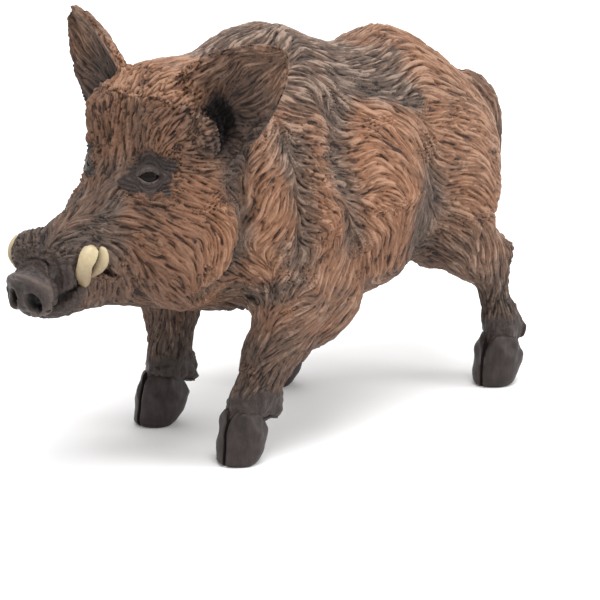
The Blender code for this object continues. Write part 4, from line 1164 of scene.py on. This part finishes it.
def unrolled(name, points, normals, faces):
    """Each face corner's place on the flattened skin: charts side by side, none on another. Tubes are
    unrolled, and each side of each ear is laid flat."""
    centre = points[faces].mean(1)
    axis, from_end = 1, 1.0 if name == "coat_face" else 0.0
    group, shares = np.zeros(len(faces), int), [1.0]
    if name in ("coat_forelegs", "coat_hindlegs"):
        group, shares, axis = (centre[:, 0] < 0).astype(int), [0.5, 0.5], 2
    elif name == "coat_rump":
        group, shares, from_end = (centre[:, 1] > TAIL_CHART).astype(int), [0.75, 0.25], -1.0
    elif name == "coat_head":
        along, down, front = ear_axes()
        left = folded(points) - np.array(EAR_ROOT)
        turned = ((normals * side_factors(points)) @ front)[faces].mean(1)
        ear = in_ear(folded(centre)) > 0.5
        group, shares = ear * (1 + (turned > 0) + 2 * (centre[:, 0] < 0)), [0.6, 0.1, 0.1, 0.1, 0.1]
    corner = np.zeros(faces.shape + (2,))
    for number, share in enumerate(shares):
        members = np.flatnonzero(group == number)
        used = np.unique(faces[members])
        place = np.zeros((len(points), 2))
        flat = name == "coat_head" and number > 0
        if flat:
            place[used] = np.column_stack([left[used] @ down, left[used] @ along])
        elif name == "coat_rump" and number:
            place[used] = np.column_stack(chart(points[used], 2, 0.0))
        else:
            place[used] = np.column_stack(chart(points[used], axis, from_end))
        spot = place[faces[members]]
        if not flat:
            wraps = np.ptp(spot[..., 0], axis=1) > 0.5
            spot[..., 0] += wraps[:, None] & (spot[..., 0] < 0.5)
        spot -= spot.reshape(-1, 2).min(0)
        spot /= spot.reshape(-1, 2).max(0)
        spot = (spot * 0.96 + 0.02) * (share, 1)
        spot[..., 0] += sum(shares[:number])
        corner[members] = spot
    return corner


def close_and_smooth(shape):
    """Lays a flat lid over each hole, and rounds the look of all faces."""
    rim = [edge for edge in shape.edges if edge.is_boundary]
    lids = bmesh.ops.holes_fill(shape, edges=rim, sides=0)["faces"]
    bmesh.ops.triangulate(shape, faces=lids)
    shade_smooth(shape)


def coat_piece(name, skin, faces, material):
    """One piece of the coat: its share of the skin's faces, with a hem turned inwards along each cut and
    a flat lid over it, and the whole skin's normals, so that no seam shows."""
    used, faces = np.unique(faces, return_inverse=True)
    faces = faces.reshape(-1, 4)
    start, end = edge_ends(faces)
    count = len(used)
    open_ended = ~np.isin(start * count + end, end * count + start)
    start, end = start[open_ended], end[open_ended]
    rim = np.unique(start)
    below = np.full(count, -1)
    below[rim] = count + np.arange(len(rim))
    faces = np.vstack([faces, np.column_stack([end, start, below[start], below[end]])])
    used = np.append(used, used[rim])
    points, normals = skin.points[used], skin.normals[used]
    points[count:] = (skin.bed - HEM * skin.under)[used[count:]]
    corners = unrolled(name, skin.rest[used], normals, faces)
    mesh = mesh_of(name, points, faces, MM)
    mesh.uv_layers.new(name="OFBake").data.foreach_set("uv", corners.astype(np.float32).ravel())
    for attribute in PAINT_GUIDES:
        values = getattr(skin, attribute)[used].astype(np.float32)
        mesh.attributes.new(attribute, "FLOAT", "POINT").data.foreach_set("value", values)
    lie = skin.lie[used].astype(np.float32).ravel()
    mesh.attributes.new("lie", "FLOAT_VECTOR", "POINT").data.foreach_set("vector", lie)
    reworked(mesh, close_and_smooth)
    mesh.normals_split_custom_set_from_vertices(normals.tolist())
    return finished(name, mesh, material, "coat", *COAT[name])


# ---------------------------------------------------------------- eyes, lids, tusks and claws


def eye_mesh(name, side):
    """A ball whose middle, the cornea, stands out by a little: radius R (1 + 0.05 exp(-(angle / 0.5)^2))."""
    middle, radius = eye_ball()
    along, up, out = eye_axes()
    angle = np.linspace(0, math.pi, 40)[:, None, None]
    turn = turns(64)[None, :, None]
    reach = radius * (1 + 0.05 * bell(angle, 0.5))
    rows = reach * (np.cos(angle) * out + np.sin(angle) * (np.cos(turn) * along + np.sin(turn) * up))
    return closed_mesh(name, (rows + middle) * (side, 1, 1))


def lid_mesh(name, side):
    """The two lids: a tube along the almond's edge on a ball just over the eye, thicker above. It is an
    oval of cos b outwards and sin b across, carried along the edge."""
    middle, radius = eye_ball()
    along, up, out = eye_axes()
    turn, ring = turns(96), turns(16)
    across = OPENING[0] * np.cos(turn) + OPENING_SHIFT[0]
    rise = OPENING[1] * (1 - ALMOND * np.cos(turn) ** 2) * np.sin(turn) * 0.98 + OPENING_SHIFT[1]
    flat = across[:, None] * along + rise[:, None] * up
    forth = np.sqrt(np.maximum((radius + LID_LIFT) ** 2 - (flat**2).sum(1), 0.1))
    line = flat + forth[:, None] * out
    outward = unit(line)
    aside = np.cross(unit(np.roll(line, -1, axis=0) - np.roll(line, 1, axis=0)), outward)
    thick = (LID_THICK + 0.07 * np.maximum(np.sin(turn), 0))[:, None, None]
    cos, sin = np.cos(ring)[None, :, None], np.sin(ring)[None, :, None]
    rows = line[:, None] + thick * (cos * outward[:, None] + 1.25 * sin * aside[:, None])
    grid = np.arange(turn.size * ring.size).reshape(turn.size, ring.size)
    ahead = np.roll(grid, -1, axis=0)
    faces = np.stack([grid, ahead, np.roll(ahead, -1, axis=1), np.roll(grid, -1, axis=1)], -1)
    points = ((rows + middle) * (side, 1, 1)).reshape(-1, 3)
    return reworked(mesh_of(name, points, faces.reshape(-1, 4), MM), turn_outwards)


def tusk_mesh(name, kind, side):
    """A flattened curved horn: oval rings round a smooth line, their size following the table and
    closing as a square root at the blunt tip, with faint rings of growth."""
    rows = catmull_rom(TUSKS[kind], 12)
    line = rows[:, :3]
    along = np.linspace(0, 1, len(line))
    closing = np.sqrt(np.clip((1.0 - along) / 0.12, 0, 1)) * (1 + 0.01 * np.sin(along * 80))
    wide, thick = ((rows[:, k] * closing)[:, None, None] for k in (3, 4))
    ahead = unit(np.gradient(line, axis=0))
    aside = unit(np.array(TUSK_FLAT) - ahead * (ahead @ TUSK_FLAT)[:, None])
    across = np.cross(ahead, aside)
    turn = turns(40)[None, :, None]
    ring = np.cos(turn) * wide * aside[:, None] + np.sin(turn) * thick * across[:, None]
    shift = np.array(TUSK_SHIFT) * (side < 0)
    return closed_mesh(name, (line[:, None] + ring) * (side, 1, 1) + shift)


def claw_mesh(foot, side):
    """One claw of a foot: a D in plan, its flat to the cleft, its width and reach given by CLAW_RINGS up
    its height. The sole's edge is rounded by CLAW_SOLE, two sines dent its wall, and its top slopes down
    to the heel and runs up inside the skin by CLAW_TOPS."""
    x, y, toes_out, long_heel = FEET[foot]
    sole, sole_size = np.array(CLAW_SOLE).T
    above, top_size = np.array(CLAW_TOPS).T
    wall = np.linspace(0.5, CORONET, 26)
    level = np.concatenate([sole, wall, CORONET + above])[:, None]
    shrink = np.concatenate([sole_size, np.ones(len(wall)), top_size])[:, None]
    share = np.clip(level / CORONET, 0, 1)
    shares, toes, heels, widths = np.array(CLAW_RINGS).T
    toe, heel, width = (np.interp(share, shares, column) for column in (toes, heels, widths))
    turn = turns(56)[None]
    bow = np.maximum(np.cos(turn), 0) ** (0.95 - 0.25 * np.sin(turn))
    dents = 0.06 * np.sin(5 * turn + 1.2 * level + x) + 0.035 * np.sin(9 * turn - 1.7 * level + y)
    wave = 1 + smooth(0.45, 1.0, share) * dents + 0.018 * np.sin(2 * turn + 2.1 * level + x)
    heel = heel * long_heel
    middle, half = (toe + heel) / 2, (heel - toe) / 2
    centre = CLEFT / 2 + width / 2
    across = centre + (CLEFT / 2 + width * bow * wave - centre) * shrink
    forth = middle + half * np.sin(turn) * (1 - 0.12 * bow) * wave * shrink
    rows = np.stack([across * side, forth, level - 0.22 * share**3 * forth], -1)
    swing = math.radians(toes_out)
    cos, sin = math.cos(swing), math.sin(swing)
    spin = np.array(((cos, -sin, 0), (sin, cos, 0), (0, 0, 1)))
    return closed_mesh(foot, rows @ spin.T + (x, y, 0))


# ---------------------------------------------------------------- paint


class Value:
    """A number that runs through a material: arithmetic on it adds Math nodes."""

    def __init__(self, paint, socket):
        self.paint, self.socket = paint, socket

    def _math(self, operation, first, second):
        node = self.paint.add("ShaderNodeMath", {"operation": operation}, {0: first, 1: second})
        return Value(self.paint, node.outputs[0])

    def __add__(self, other):
        return self._math("ADD", self, other)

    def __radd__(self, other):
        return self._math("ADD", other, self)

    def __sub__(self, other):
        return self._math("SUBTRACT", self, other)

    def __rsub__(self, other):
        return self._math("SUBTRACT", other, self)

    def __mul__(self, other):
        return self._math("MULTIPLY", self, other)

    def __rmul__(self, other):
        return self._math("MULTIPLY", other, self)

    def between(self, low, high):
        """0 up to `low`, 1 from `high`, and smooth between."""
        sockets = {"Value": self, "From Min": low, "From Max": high}
        node = self.paint.add("ShaderNodeMapRange", {"interpolation_type": "SMOOTHSTEP"}, sockets)
        return Value(self.paint, node.outputs[0])


class Paint:
    """A finish: one Principled shader and the nodes that feed it."""

    def __init__(self, name, **sockets):
        self.material = bpy.data.materials.new(name)
        self.material.use_nodes = True
        self.tree = self.material.node_tree
        self.tree.nodes.clear()
        self.shader = self.add("ShaderNodeBsdfPrincipled", {}, sockets)
        self.add("ShaderNodeOutputMaterial", {}, {"Surface": self.shader.outputs[0]})
        self.place = self.add("ShaderNodeTexCoord").outputs["Object"]

    def add(self, kind, settings=(), sockets=()):
        """A node of that kind, its settings first and then the values or links of its sockets."""
        node = self.tree.nodes.new(kind)
        for name, value in dict(settings).items():
            setattr(node, name, value)
        for name, value in dict(sockets).items():
            if isinstance(value, Value):
                value = value.socket
            if isinstance(value, bpy.types.NodeSocket):
                self.tree.links.new(value, node.inputs[name])
            else:
                node.inputs[name].default_value = value
        return node

    def feed(self, **sockets):
        """Links sockets of the shader, their names written with _ for a space."""
        for name, value in sockets.items():
            value = value.socket if isinstance(value, Value) else value
            self.tree.links.new(value, self.shader.inputs[name.replace("_", " ")])

    def attribute(self, name):
        """What the mesh's attribute of that name holds."""
        node = self.add("ShaderNodeAttribute", {"attribute_name": name})
        return Value(self, node.outputs["Fac"])

    def noise(self, size, detail, stretch=None, place=None):
        """Noise whose lumps are about `size` mm across."""
        place = place or self.place
        if stretch:
            sockets = {0: place, 1: stretch}
            place = self.add("ShaderNodeVectorMath", {"operation": "MULTIPLY"}, sockets).outputs[0]
        sockets = {"Vector": place, "Scale": 1 / (size * MM), "Detail": detail}
        return Value(self, self.add("ShaderNodeTexNoise", {}, sockets).outputs[0])

    def hair_lines(self, size, reach, count):
        """Fine lines along the hair: the mean of noise read at `count` places up to `reach` mm to and fro
        along the attribute `lie`, spread out again about one half."""
        lie = self.add("ShaderNodeAttribute", {"attribute_name": "lie"}).outputs["Vector"]
        total = 0.0
        for step in np.linspace(-reach, reach, count):
            sockets = {0: lie, 1: (float(step * MM),) * 3, 2: self.place}
            place = self.add("ShaderNodeVectorMath", {"operation": "MULTIPLY_ADD"}, sockets).outputs[0]
            total = self.noise(size, 0.0, place=place) + total
        return (total * (1 / count) - 0.5) * 4.5 + 0.5

    def blend(self, share, first, second):
        """A colour between two, given as colours or sockets."""
        first, second = ((*part, 1.0) if isinstance(part, Color) else part for part in (first, second))
        return self.add("ShaderNodeMix", {"data_type": "RGBA"}, {0: share, 6: first, 7: second}).outputs[2]

    def bumps(self, height, depth, strength):
        """A normal from a height of 0 to 1 over `depth` mm."""
        sockets = {"Height": height, "Distance": depth * MM, "Strength": strength}
        return self.add("ShaderNodeBump", {}, sockets).outputs[0]


def coat_paint(paints):
    """Brown coat: a dark wash that lies in the furrows, grey or terracotta brown over it, and a light
    brown brushed dry over the ridges, patchy; bare dark skin where the attribute says so. Painted shade
    darkens pits, creases, hollows and fine furrows, and painted highlights lie along fine strands and on the
    snout's rim and wrinkles."""
    paint = Paint("Painted coat", **{"IOR": 1.45, "Specular IOR Level": 0.3})
    relief, grain, warm, light, dark, shade, bare, worn = (paint.attribute(name) for name in PAINT_GUIDES)
    cloud, patch, speck = paint.noise(4.5, 3), paint.noise(1.3, 3), paint.noise(0.22, 2)
    lines = paint.hair_lines(size=0.32, reach=0.9, count=15)
    height = relief * 0.66 + lines * 0.34 + (patch - 0.5) * 0.16 + (speck - 0.5) * 0.12

    warmth = (warm + (cloud - 0.5) * 0.9 + (patch - 0.5) * 0.35).between(0.05, 0.95)
    body = paint.blend(warmth, paints.wash, paints.terracotta)
    deep = paint.blend((warm + (cloud - 0.5) * 0.4).between(0.0, 1.0), paints.pit, paints.furrow)
    colour = paint.blend(height.between(0.12, 0.50), deep, body)

    brushed = (light + (patch - 0.5) * 0.8).between(0.0, 0.9)
    ridge = (height + (light - 0.7) * 0.2).between(0.55, 0.88) * brushed
    pale = paint.blend(warm.between(0.1, 0.8), paints.pale_grey, paints.pale_brown)
    colour = paint.blend(ridge * 0.8, colour, pale)
    # Painted highlights along the fine strands, in the pale colours.
    strand_highlight = lines.between(0.62, 0.95) * relief.between(0.35, 0.65) * light.between(-0.3, 0.6)
    colour = paint.blend(strand_highlight * 0.42, colour, pale)
    # Painted shade in the fine furrows between strands.
    colour = paint.blend(lines.between(0.38, 0.05) * (1.0 - relief).between(0.2, 0.6) * 0.75, colour, deep)

    brown = paint.blend(height.between(0.2, 0.85), paints.pit, paints.umber)
    colour = paint.blend((dark + (cloud - 0.5) * 0.25).between(0.02, 1.0) * 0.95, colour, brown)
    # Painted shade in pits, creases and hollows of the coat.
    colour = paint.blend((shade * 0.9 + (patch - 0.5) * 0.2).between(0.05, 0.95), colour, paints.pit)

    # Bare skin lighter in random rubbed spots, and painted highlights on the snout's rim and wrinkles.
    rubbed_and_highlit = speck.between(0.3, 0.8) * 0.35 + grain * 0.1 + worn * 0.6
    hide = paint.blend(rubbed_and_highlit, paints.hide, paints.hide_light)
    # Painted shade on the bare skin: nostrils, leather creases and the disc's face.
    hide = paint.blend(shade.between(0.2, 1.0), hide, paints.pit)
    colour = paint.blend((bare + (patch - 0.5) * 0.5).between(0.2, 0.75), colour, hide)

    rough = 0.60 - relief * 0.1 + (speck - 0.5) * 0.2 - bare * 0.12
    grained = lines * (1.0 - bare) * 0.8 + speck * 0.2 + paint.noise(0.1, 2) * 0.15
    paint.feed(Base_Color=colour, Roughness=rough, Normal=paint.bumps(grained, depth=0.17, strength=0.9))
    return paint.material


def horn_paint(paints):
    """Satin brown black horn, with paler streaks that run up it and brown flecks."""
    paint = Paint("Claw horn", **{"IOR": 1.5, "Specular IOR Level": 0.28})
    cloud, speck = paint.noise(1.6, 3), paint.noise(0.25, 3)
    streak = paint.noise(0.5, 3, stretch=(1.0, 1.0, 0.18))
    colour = paint.blend((cloud * 0.6 + streak * 0.5).between(0.35, 0.8), paints.horn, paints.horn_light)
    colour = paint.blend(speck.between(0.62, 0.8) * 0.5, colour, paints.umber)
    rough = 0.46 + (speck - 0.5) * 0.25 + streak * 0.1
    normal = paint.bumps(streak * 0.8 + speck * 0.3, depth=0.06, strength=0.5)
    paint.feed(Base_Color=colour, Roughness=rough, Normal=normal)
    return paint.material


def ivory_paint(paints):
    """Cream tusks, stained brown towards the socket and in fine streaks."""
    paint = Paint("Tusk cream", **{"IOR": 1.5, "Specular IOR Level": 0.5})
    level = Value(paint, paint.add("ShaderNodeSeparateXYZ", {}, {0: paint.place}).outputs[2]) * (1 / MM)
    cloud, streak = paint.noise(0.8, 3), paint.noise(0.25, 3, stretch=(1.0, 1.0, 0.3))
    stain = (LIP_LEVEL - level + cloud * 2.2).between(1.2, 5.2)
    colour = paint.blend(streak.between(0.3, 0.75) * 0.45, paints.ivory, paints.ivory_shade)
    colour = paint.blend(stain * 0.75, colour, paints.ivory_stain)
    rough = 0.36 + (cloud - 0.5) * 0.2
    paint.feed(Base_Color=colour, Roughness=rough, Normal=paint.bumps(streak, depth=0.03, strength=0.5))
    return paint.material


def eye_paint(paints):
    """Gloss black, with a breath of brown."""
    gloss = {"IOR": 1.5, "Specular IOR Level": 0.08, "Coat Roughness": 0.03, "Coat Weight": 0.08}
    paint = Paint("Gloss eye", **gloss)
    cloud = paint.noise(0.6, 2)
    colour = paint.blend(cloud.between(0.3, 0.8), paints.eye, paints.eye_brown)
    paint.feed(Base_Color=colour, Roughness=0.06 + cloud * 0.04)
    return paint.material


def lid_paint(paints):
    """Dark wrinkled skin of the lids."""
    paint = Paint("Lid skin", **{"IOR": 1.45, "Specular IOR Level": 0.3})
    fine, speck = paint.noise(0.35, 3), paint.noise(0.15, 2)
    colour = paint.blend((fine * 0.7 + speck * 0.4).between(0.35, 0.8), paints.hide, paints.hide_light)
    rough = 0.45 + (speck - 0.5) * 0.2
    normal = paint.bumps(fine * 0.7 + speck * 0.3, depth=0.06, strength=0.6)
    paint.feed(Base_Color=colour, Roughness=rough, Normal=normal)
    return paint.material


def floor_paint(paints):
    """Matt white paper with the faintest grain."""
    paint = Paint("Studio paper", **{"Specular IOR Level": 0.1})
    grain = paint.noise(40.0, 2)
    colour = paint.blend(grain, paints.paper, paints.paper_shade)
    paint.feed(Base_Color=colour, Roughness=0.9 + (grain - 0.5) * 0.1)
    return paint.material


# ---------------------------------------------------------------- what a user may change


def scalar(name, description, default, **more):
    """A property that holds one number."""
    return bpy.props.FloatProperty(name=name, description=description, default=default, **more)


def tint(name, description, default):
    """A property that holds a colour."""
    return bpy.props.FloatVectorProperty(
        name=name, description=description, default=default, size=3, min=0, max=1, subtype="COLOR"
    )


class BoarCoat(bpy.types.PropertyGroup):
    """Sizes of the moulded hair."""

    hair_depth: scalar(
        "Hair depth", "From the furrows to the ridges of the coat on the body", 0.60 * MM,
        min=0, unit="LENGTH", precision=5,
    )
    strand_width: scalar(
        "Strand width", "Width of one strand of the moulded hair", 0.36 * MM,
        min=0, unit="LENGTH", precision=5,
    )
    wave: scalar("Wave", "How far the hair bends to and fro, as a share of its own way", 0.42, min=0, max=1)


class BoarPaints(bpy.types.PropertyGroup):
    """Colours of the finishes."""

    furrow: tint("Furrow", "Dark brown wash in warm furrows", (0.040, 0.018, 0.010))
    # Pit is also the colour of the painted shade.
    pit: tint("Pit", "Darkest wash, in creases and pits", (0.010, 0.007, 0.007))
    wash: tint("Grey wash", "Grey brown of the back and the mane", (0.092, 0.061, 0.045))
    terracotta: tint("Terracotta", "Warm brown of the flanks and the cheeks", (0.218, 0.098, 0.050))
    umber: tint("Umber", "Dark brown of the muzzle and the feet", (0.058, 0.039, 0.032))
    # The pale colours are also the painted highlights along fine strands.
    pale_brown: tint("Pale brown", "Brushed over warm ridges", (0.350, 0.196, 0.122))
    pale_grey: tint("Pale grey", "Brushed over grey ridges", (0.300, 0.216, 0.168))
    hide: tint("Hide", "Bare skin of the snout and round the eyes", (0.022, 0.0145, 0.0125))
    # Hide light is also the colour of the painted highlights on the snout.
    hide_light: tint("Hide light", "Worn spots of the bare skin", (0.090, 0.066, 0.057))
    horn: tint("Horn", "Claws", (0.019, 0.0125, 0.0118))
    horn_light: tint("Horn light", "Paler streaks of the claws", (0.042, 0.030, 0.028))
    ivory: tint("Ivory", "Tusks", (0.444, 0.363, 0.215))
    ivory_shade: tint("Ivory shade", "Streaks of the tusks", (0.340, 0.252, 0.141))
    ivory_stain: tint("Ivory stain", "Tusks at the lip", (0.178, 0.115, 0.063))
    eye: tint("Eye", "Eyes", (0.003, 0.002, 0.002))
    eye_brown: tint("Eye brown", "Depth of the eyes", (0.009, 0.004, 0.003))
    paper: tint("Paper", "Floor", (0.94, 0.94, 0.94))
    paper_shade: tint("Paper shade", "Grain of the floor", (0.92, 0.92, 0.92))


class BoarStudio(bpy.types.PropertyGroup):
    """Camera and lights."""

    distance: scalar("Distance", "From the camera to its target", 0.62, min=0, unit="LENGTH")
    lens: scalar("Lens", "Focal length in millimetres", 279.0, min=1)
    azimuth: scalar(
        "Azimuth", "Turn of the camera about the figure from its front", math.radians(42), subtype="ANGLE"
    )
    elevation: scalar("Elevation", "Height of the camera as an angle", math.radians(16), subtype="ANGLE")
    target: bpy.props.FloatVectorProperty(
        name="Target", description="Point that the camera looks at", default=(0.012, -0.0068, 0.0206), size=3,
        subtype="TRANSLATION", unit="LENGTH",
    )
    key: scalar("Key", "Power of the main light in watts", 2.7, min=0)
    sky: scalar("Sky", "Strength of the white surroundings", 0.95, min=0)


# ---------------------------------------------------------------- operators and panel


class BOAR_OT_coat(bpy.types.Operator):
    """Casts, sculpts, combs and paints the skin, and parts it into pieces"""

    bl_idname = "boar.coat"
    bl_label = "Coat"

    def execute(self, context):
        skin = Skin()
        fold_in(skin, ROLLS, 1)
        fold_in(skin, CREASES, -1)
        push(skin)
        shape_snout(skin)
        cup_ears(skin)
        cut_brow(skin)
        open_eyes(skin, wrinkles=True)
        shape_feet(skin)
        grow_hair(skin, context.scene.boar_coat)
        open_eyes(skin)
        mix_tones(skin)
        material = coat_paint(context.scene.boar_paints)
        labels = coat_labels(skin.rest[skin.quads].mean(1))
        for number, name in enumerate(COAT):
            faces = skin.quads[labels == number]
            if not len(faces):
                raise RuntimeError(f"no faces for {name}")
            coat_piece(name, skin, faces, material)
        return {"FINISHED"}


class BOAR_OT_eyes(bpy.types.Operator):
    """Sets the two glossy eyes"""

    bl_idname = "boar.eyes"
    bl_label = "Eyes"

    def execute(self, context):
        material = eye_paint(context.scene.boar_paints)
        for word, side in SIDES:
            name = f"eyeball_{word}"
            finished(name, eye_mesh(name, side), material, "eye", f"eye_{word}")
        return {"FINISHED"}


class BOAR_OT_lids(bpy.types.Operator):
    """Lays the lids round the eyes"""

    bl_idname = "boar.lids"
    bl_label = "Lids"

    def execute(self, context):
        material = lid_paint(context.scene.boar_paints)
        for word, side in SIDES:
            name = f"lids_{word}"
            finished(name, lid_mesh(name, side), material, "coat")
        return {"FINISHED"}


class BOAR_OT_tusks(bpy.types.Operator):
    """Sets the four tusks"""

    bl_idname = "boar.tusks"
    bl_label = "Tusks"

    def execute(self, context):
        material = ivory_paint(context.scene.boar_paints)
        for kind in TUSKS:
            for word, side in SIDES:
                name = f"{kind}_{word}"
                finished(f"cream_{name}", tusk_mesh(name, kind, side), material, "ivory", name)
        return {"FINISHED"}


class BOAR_OT_claws(bpy.types.Operator):
    """Sets the two claws of each foot"""

    bl_idname = "boar.claws"
    bl_label = "Claws"

    def execute(self, context):
        material = horn_paint(context.scene.boar_paints)
        for foot in FEET:
            pair = joined(f"claws_{foot}", [claw_mesh(foot, side) for _, side in SIDES])
            finished(f"claws_{foot}", pair, material, "horn", f"{foot}_claw_outer", f"{foot}_claw_inner")
        return {"FINISHED"}


def hang(name, data, place, back):
    """Puts a lamp or a camera at a place, its back turned the way of `back`."""
    holder = bpy.data.objects.new(name, data)
    holder.location = place
    holder.rotation_mode = "QUATERNION"
    holder.rotation_quaternion = (-back).to_track_quat("-Z", "Y")
    bpy.context.scene.collection.objects.link(holder)
    return holder


class BOAR_OT_studio(bpy.types.Operator):
    """Lays the floor, hangs the lights and places the camera"""

    bl_idname = "boar.studio"
    bl_label = "Studio"

    def execute(self, context):
        scene, studio = context.scene, context.scene.boar_studio
        lines = np.linspace(-1, 1, FLOOR_LINES) * FLOOR_REACH
        x, y = np.meshgrid(lines, lines, indexing="ij")
        points = np.stack([x, y, np.full_like(x, -FLOOR_DROP)], -1).reshape(-1, 3)
        grid = np.arange(x.size).reshape(x.shape)
        faces = np.stack([grid[:-1, :-1], grid[1:, :-1], grid[1:, 1:], grid[:-1, 1:]], -1).reshape(-1, 4)
        floor = bpy.data.objects.new("floor", mesh_of("floor", points, faces))
        floor.data.materials.append(floor_paint(scene.boar_paints))
        scene.collection.objects.link(floor)

        world = bpy.data.worlds.new("Studio surroundings")
        world.use_nodes = True
        background = world.node_tree.nodes["Background"]
        background.inputs["Color"].default_value = (1.0, 1.0, 1.0, 1.0)
        background.inputs["Strength"].default_value = studio.sky
        scene.world = world
        scene.view_settings.view_transform = "Standard"
        scene.view_settings.look = "None"

        middle = Vector(studio.target)
        for name, (place, size, share) in LAMPS.items():
            lamp = bpy.data.lights.new(name, "AREA")
            lamp.size, lamp.energy = size, studio.key * share
            hang(name, lamp, Vector(place), Vector(place) - middle)

        camera = bpy.data.cameras.new("camera")
        camera.lens, camera.sensor_width = studio.lens, SENSOR
        camera.clip_start, camera.clip_end = 0.01, 20.0
        flat = math.cos(studio.elevation)
        turned = (math.sin(studio.azimuth) * flat, -math.cos(studio.azimuth) * flat)
        back = Vector((*turned, math.sin(studio.elevation)))
        scene.camera = hang("camera", camera, middle + back * studio.distance, back)
        return {"FINISHED"}


class BOAR_PT_panel(bpy.types.Panel):
    """Lists the pieces and what may be changed in them"""

    bl_idname = "BOAR_PT_panel"
    bl_label = "Wild boar figure"
    bl_space_type = "VIEW_3D"
    bl_region_type = "UI"
    bl_category = "Boar"

    def draw(self, context):
        for title, group in (("Coat", "boar_coat"), ("Paints", "boar_paints"), ("Studio", "boar_studio")):
            box = self.layout.box()
            box.label(text=title)
            settings = getattr(context.scene, group)
            for name in settings.__annotations__:
                box.prop(settings, name)
        for operator in OPERATORS:
            self.layout.operator(operator.bl_idname)


GROUPS = {"boar_coat": BoarCoat, "boar_paints": BoarPaints, "boar_studio": BoarStudio}
OPERATORS = (BOAR_OT_coat, BOAR_OT_eyes, BOAR_OT_lids, BOAR_OT_tusks, BOAR_OT_claws, BOAR_OT_studio)


def register():
    for made in (*GROUPS.values(), *OPERATORS, BOAR_PT_panel):
        bpy.utils.register_class(made)
    for name, group in GROUPS.items():
        setattr(bpy.types.Scene, name, bpy.props.PointerProperty(type=group))


def unregister():
    for name in GROUPS:
        delattr(bpy.types.Scene, name)
    for made in reversed((*GROUPS.values(), *OPERATORS, BOAR_PT_panel)):
        bpy.utils.unregister_class(made)


def main():
    """Makes every piece and the studio."""
    register()
    bpy.ops.boar.coat()
    bpy.ops.boar.eyes()
    bpy.ops.boar.lids()
    bpy.ops.boar.tusks()
    bpy.ops.boar.claws()
    bpy.ops.boar.studio()


if __name__ == "__main__":
    main()
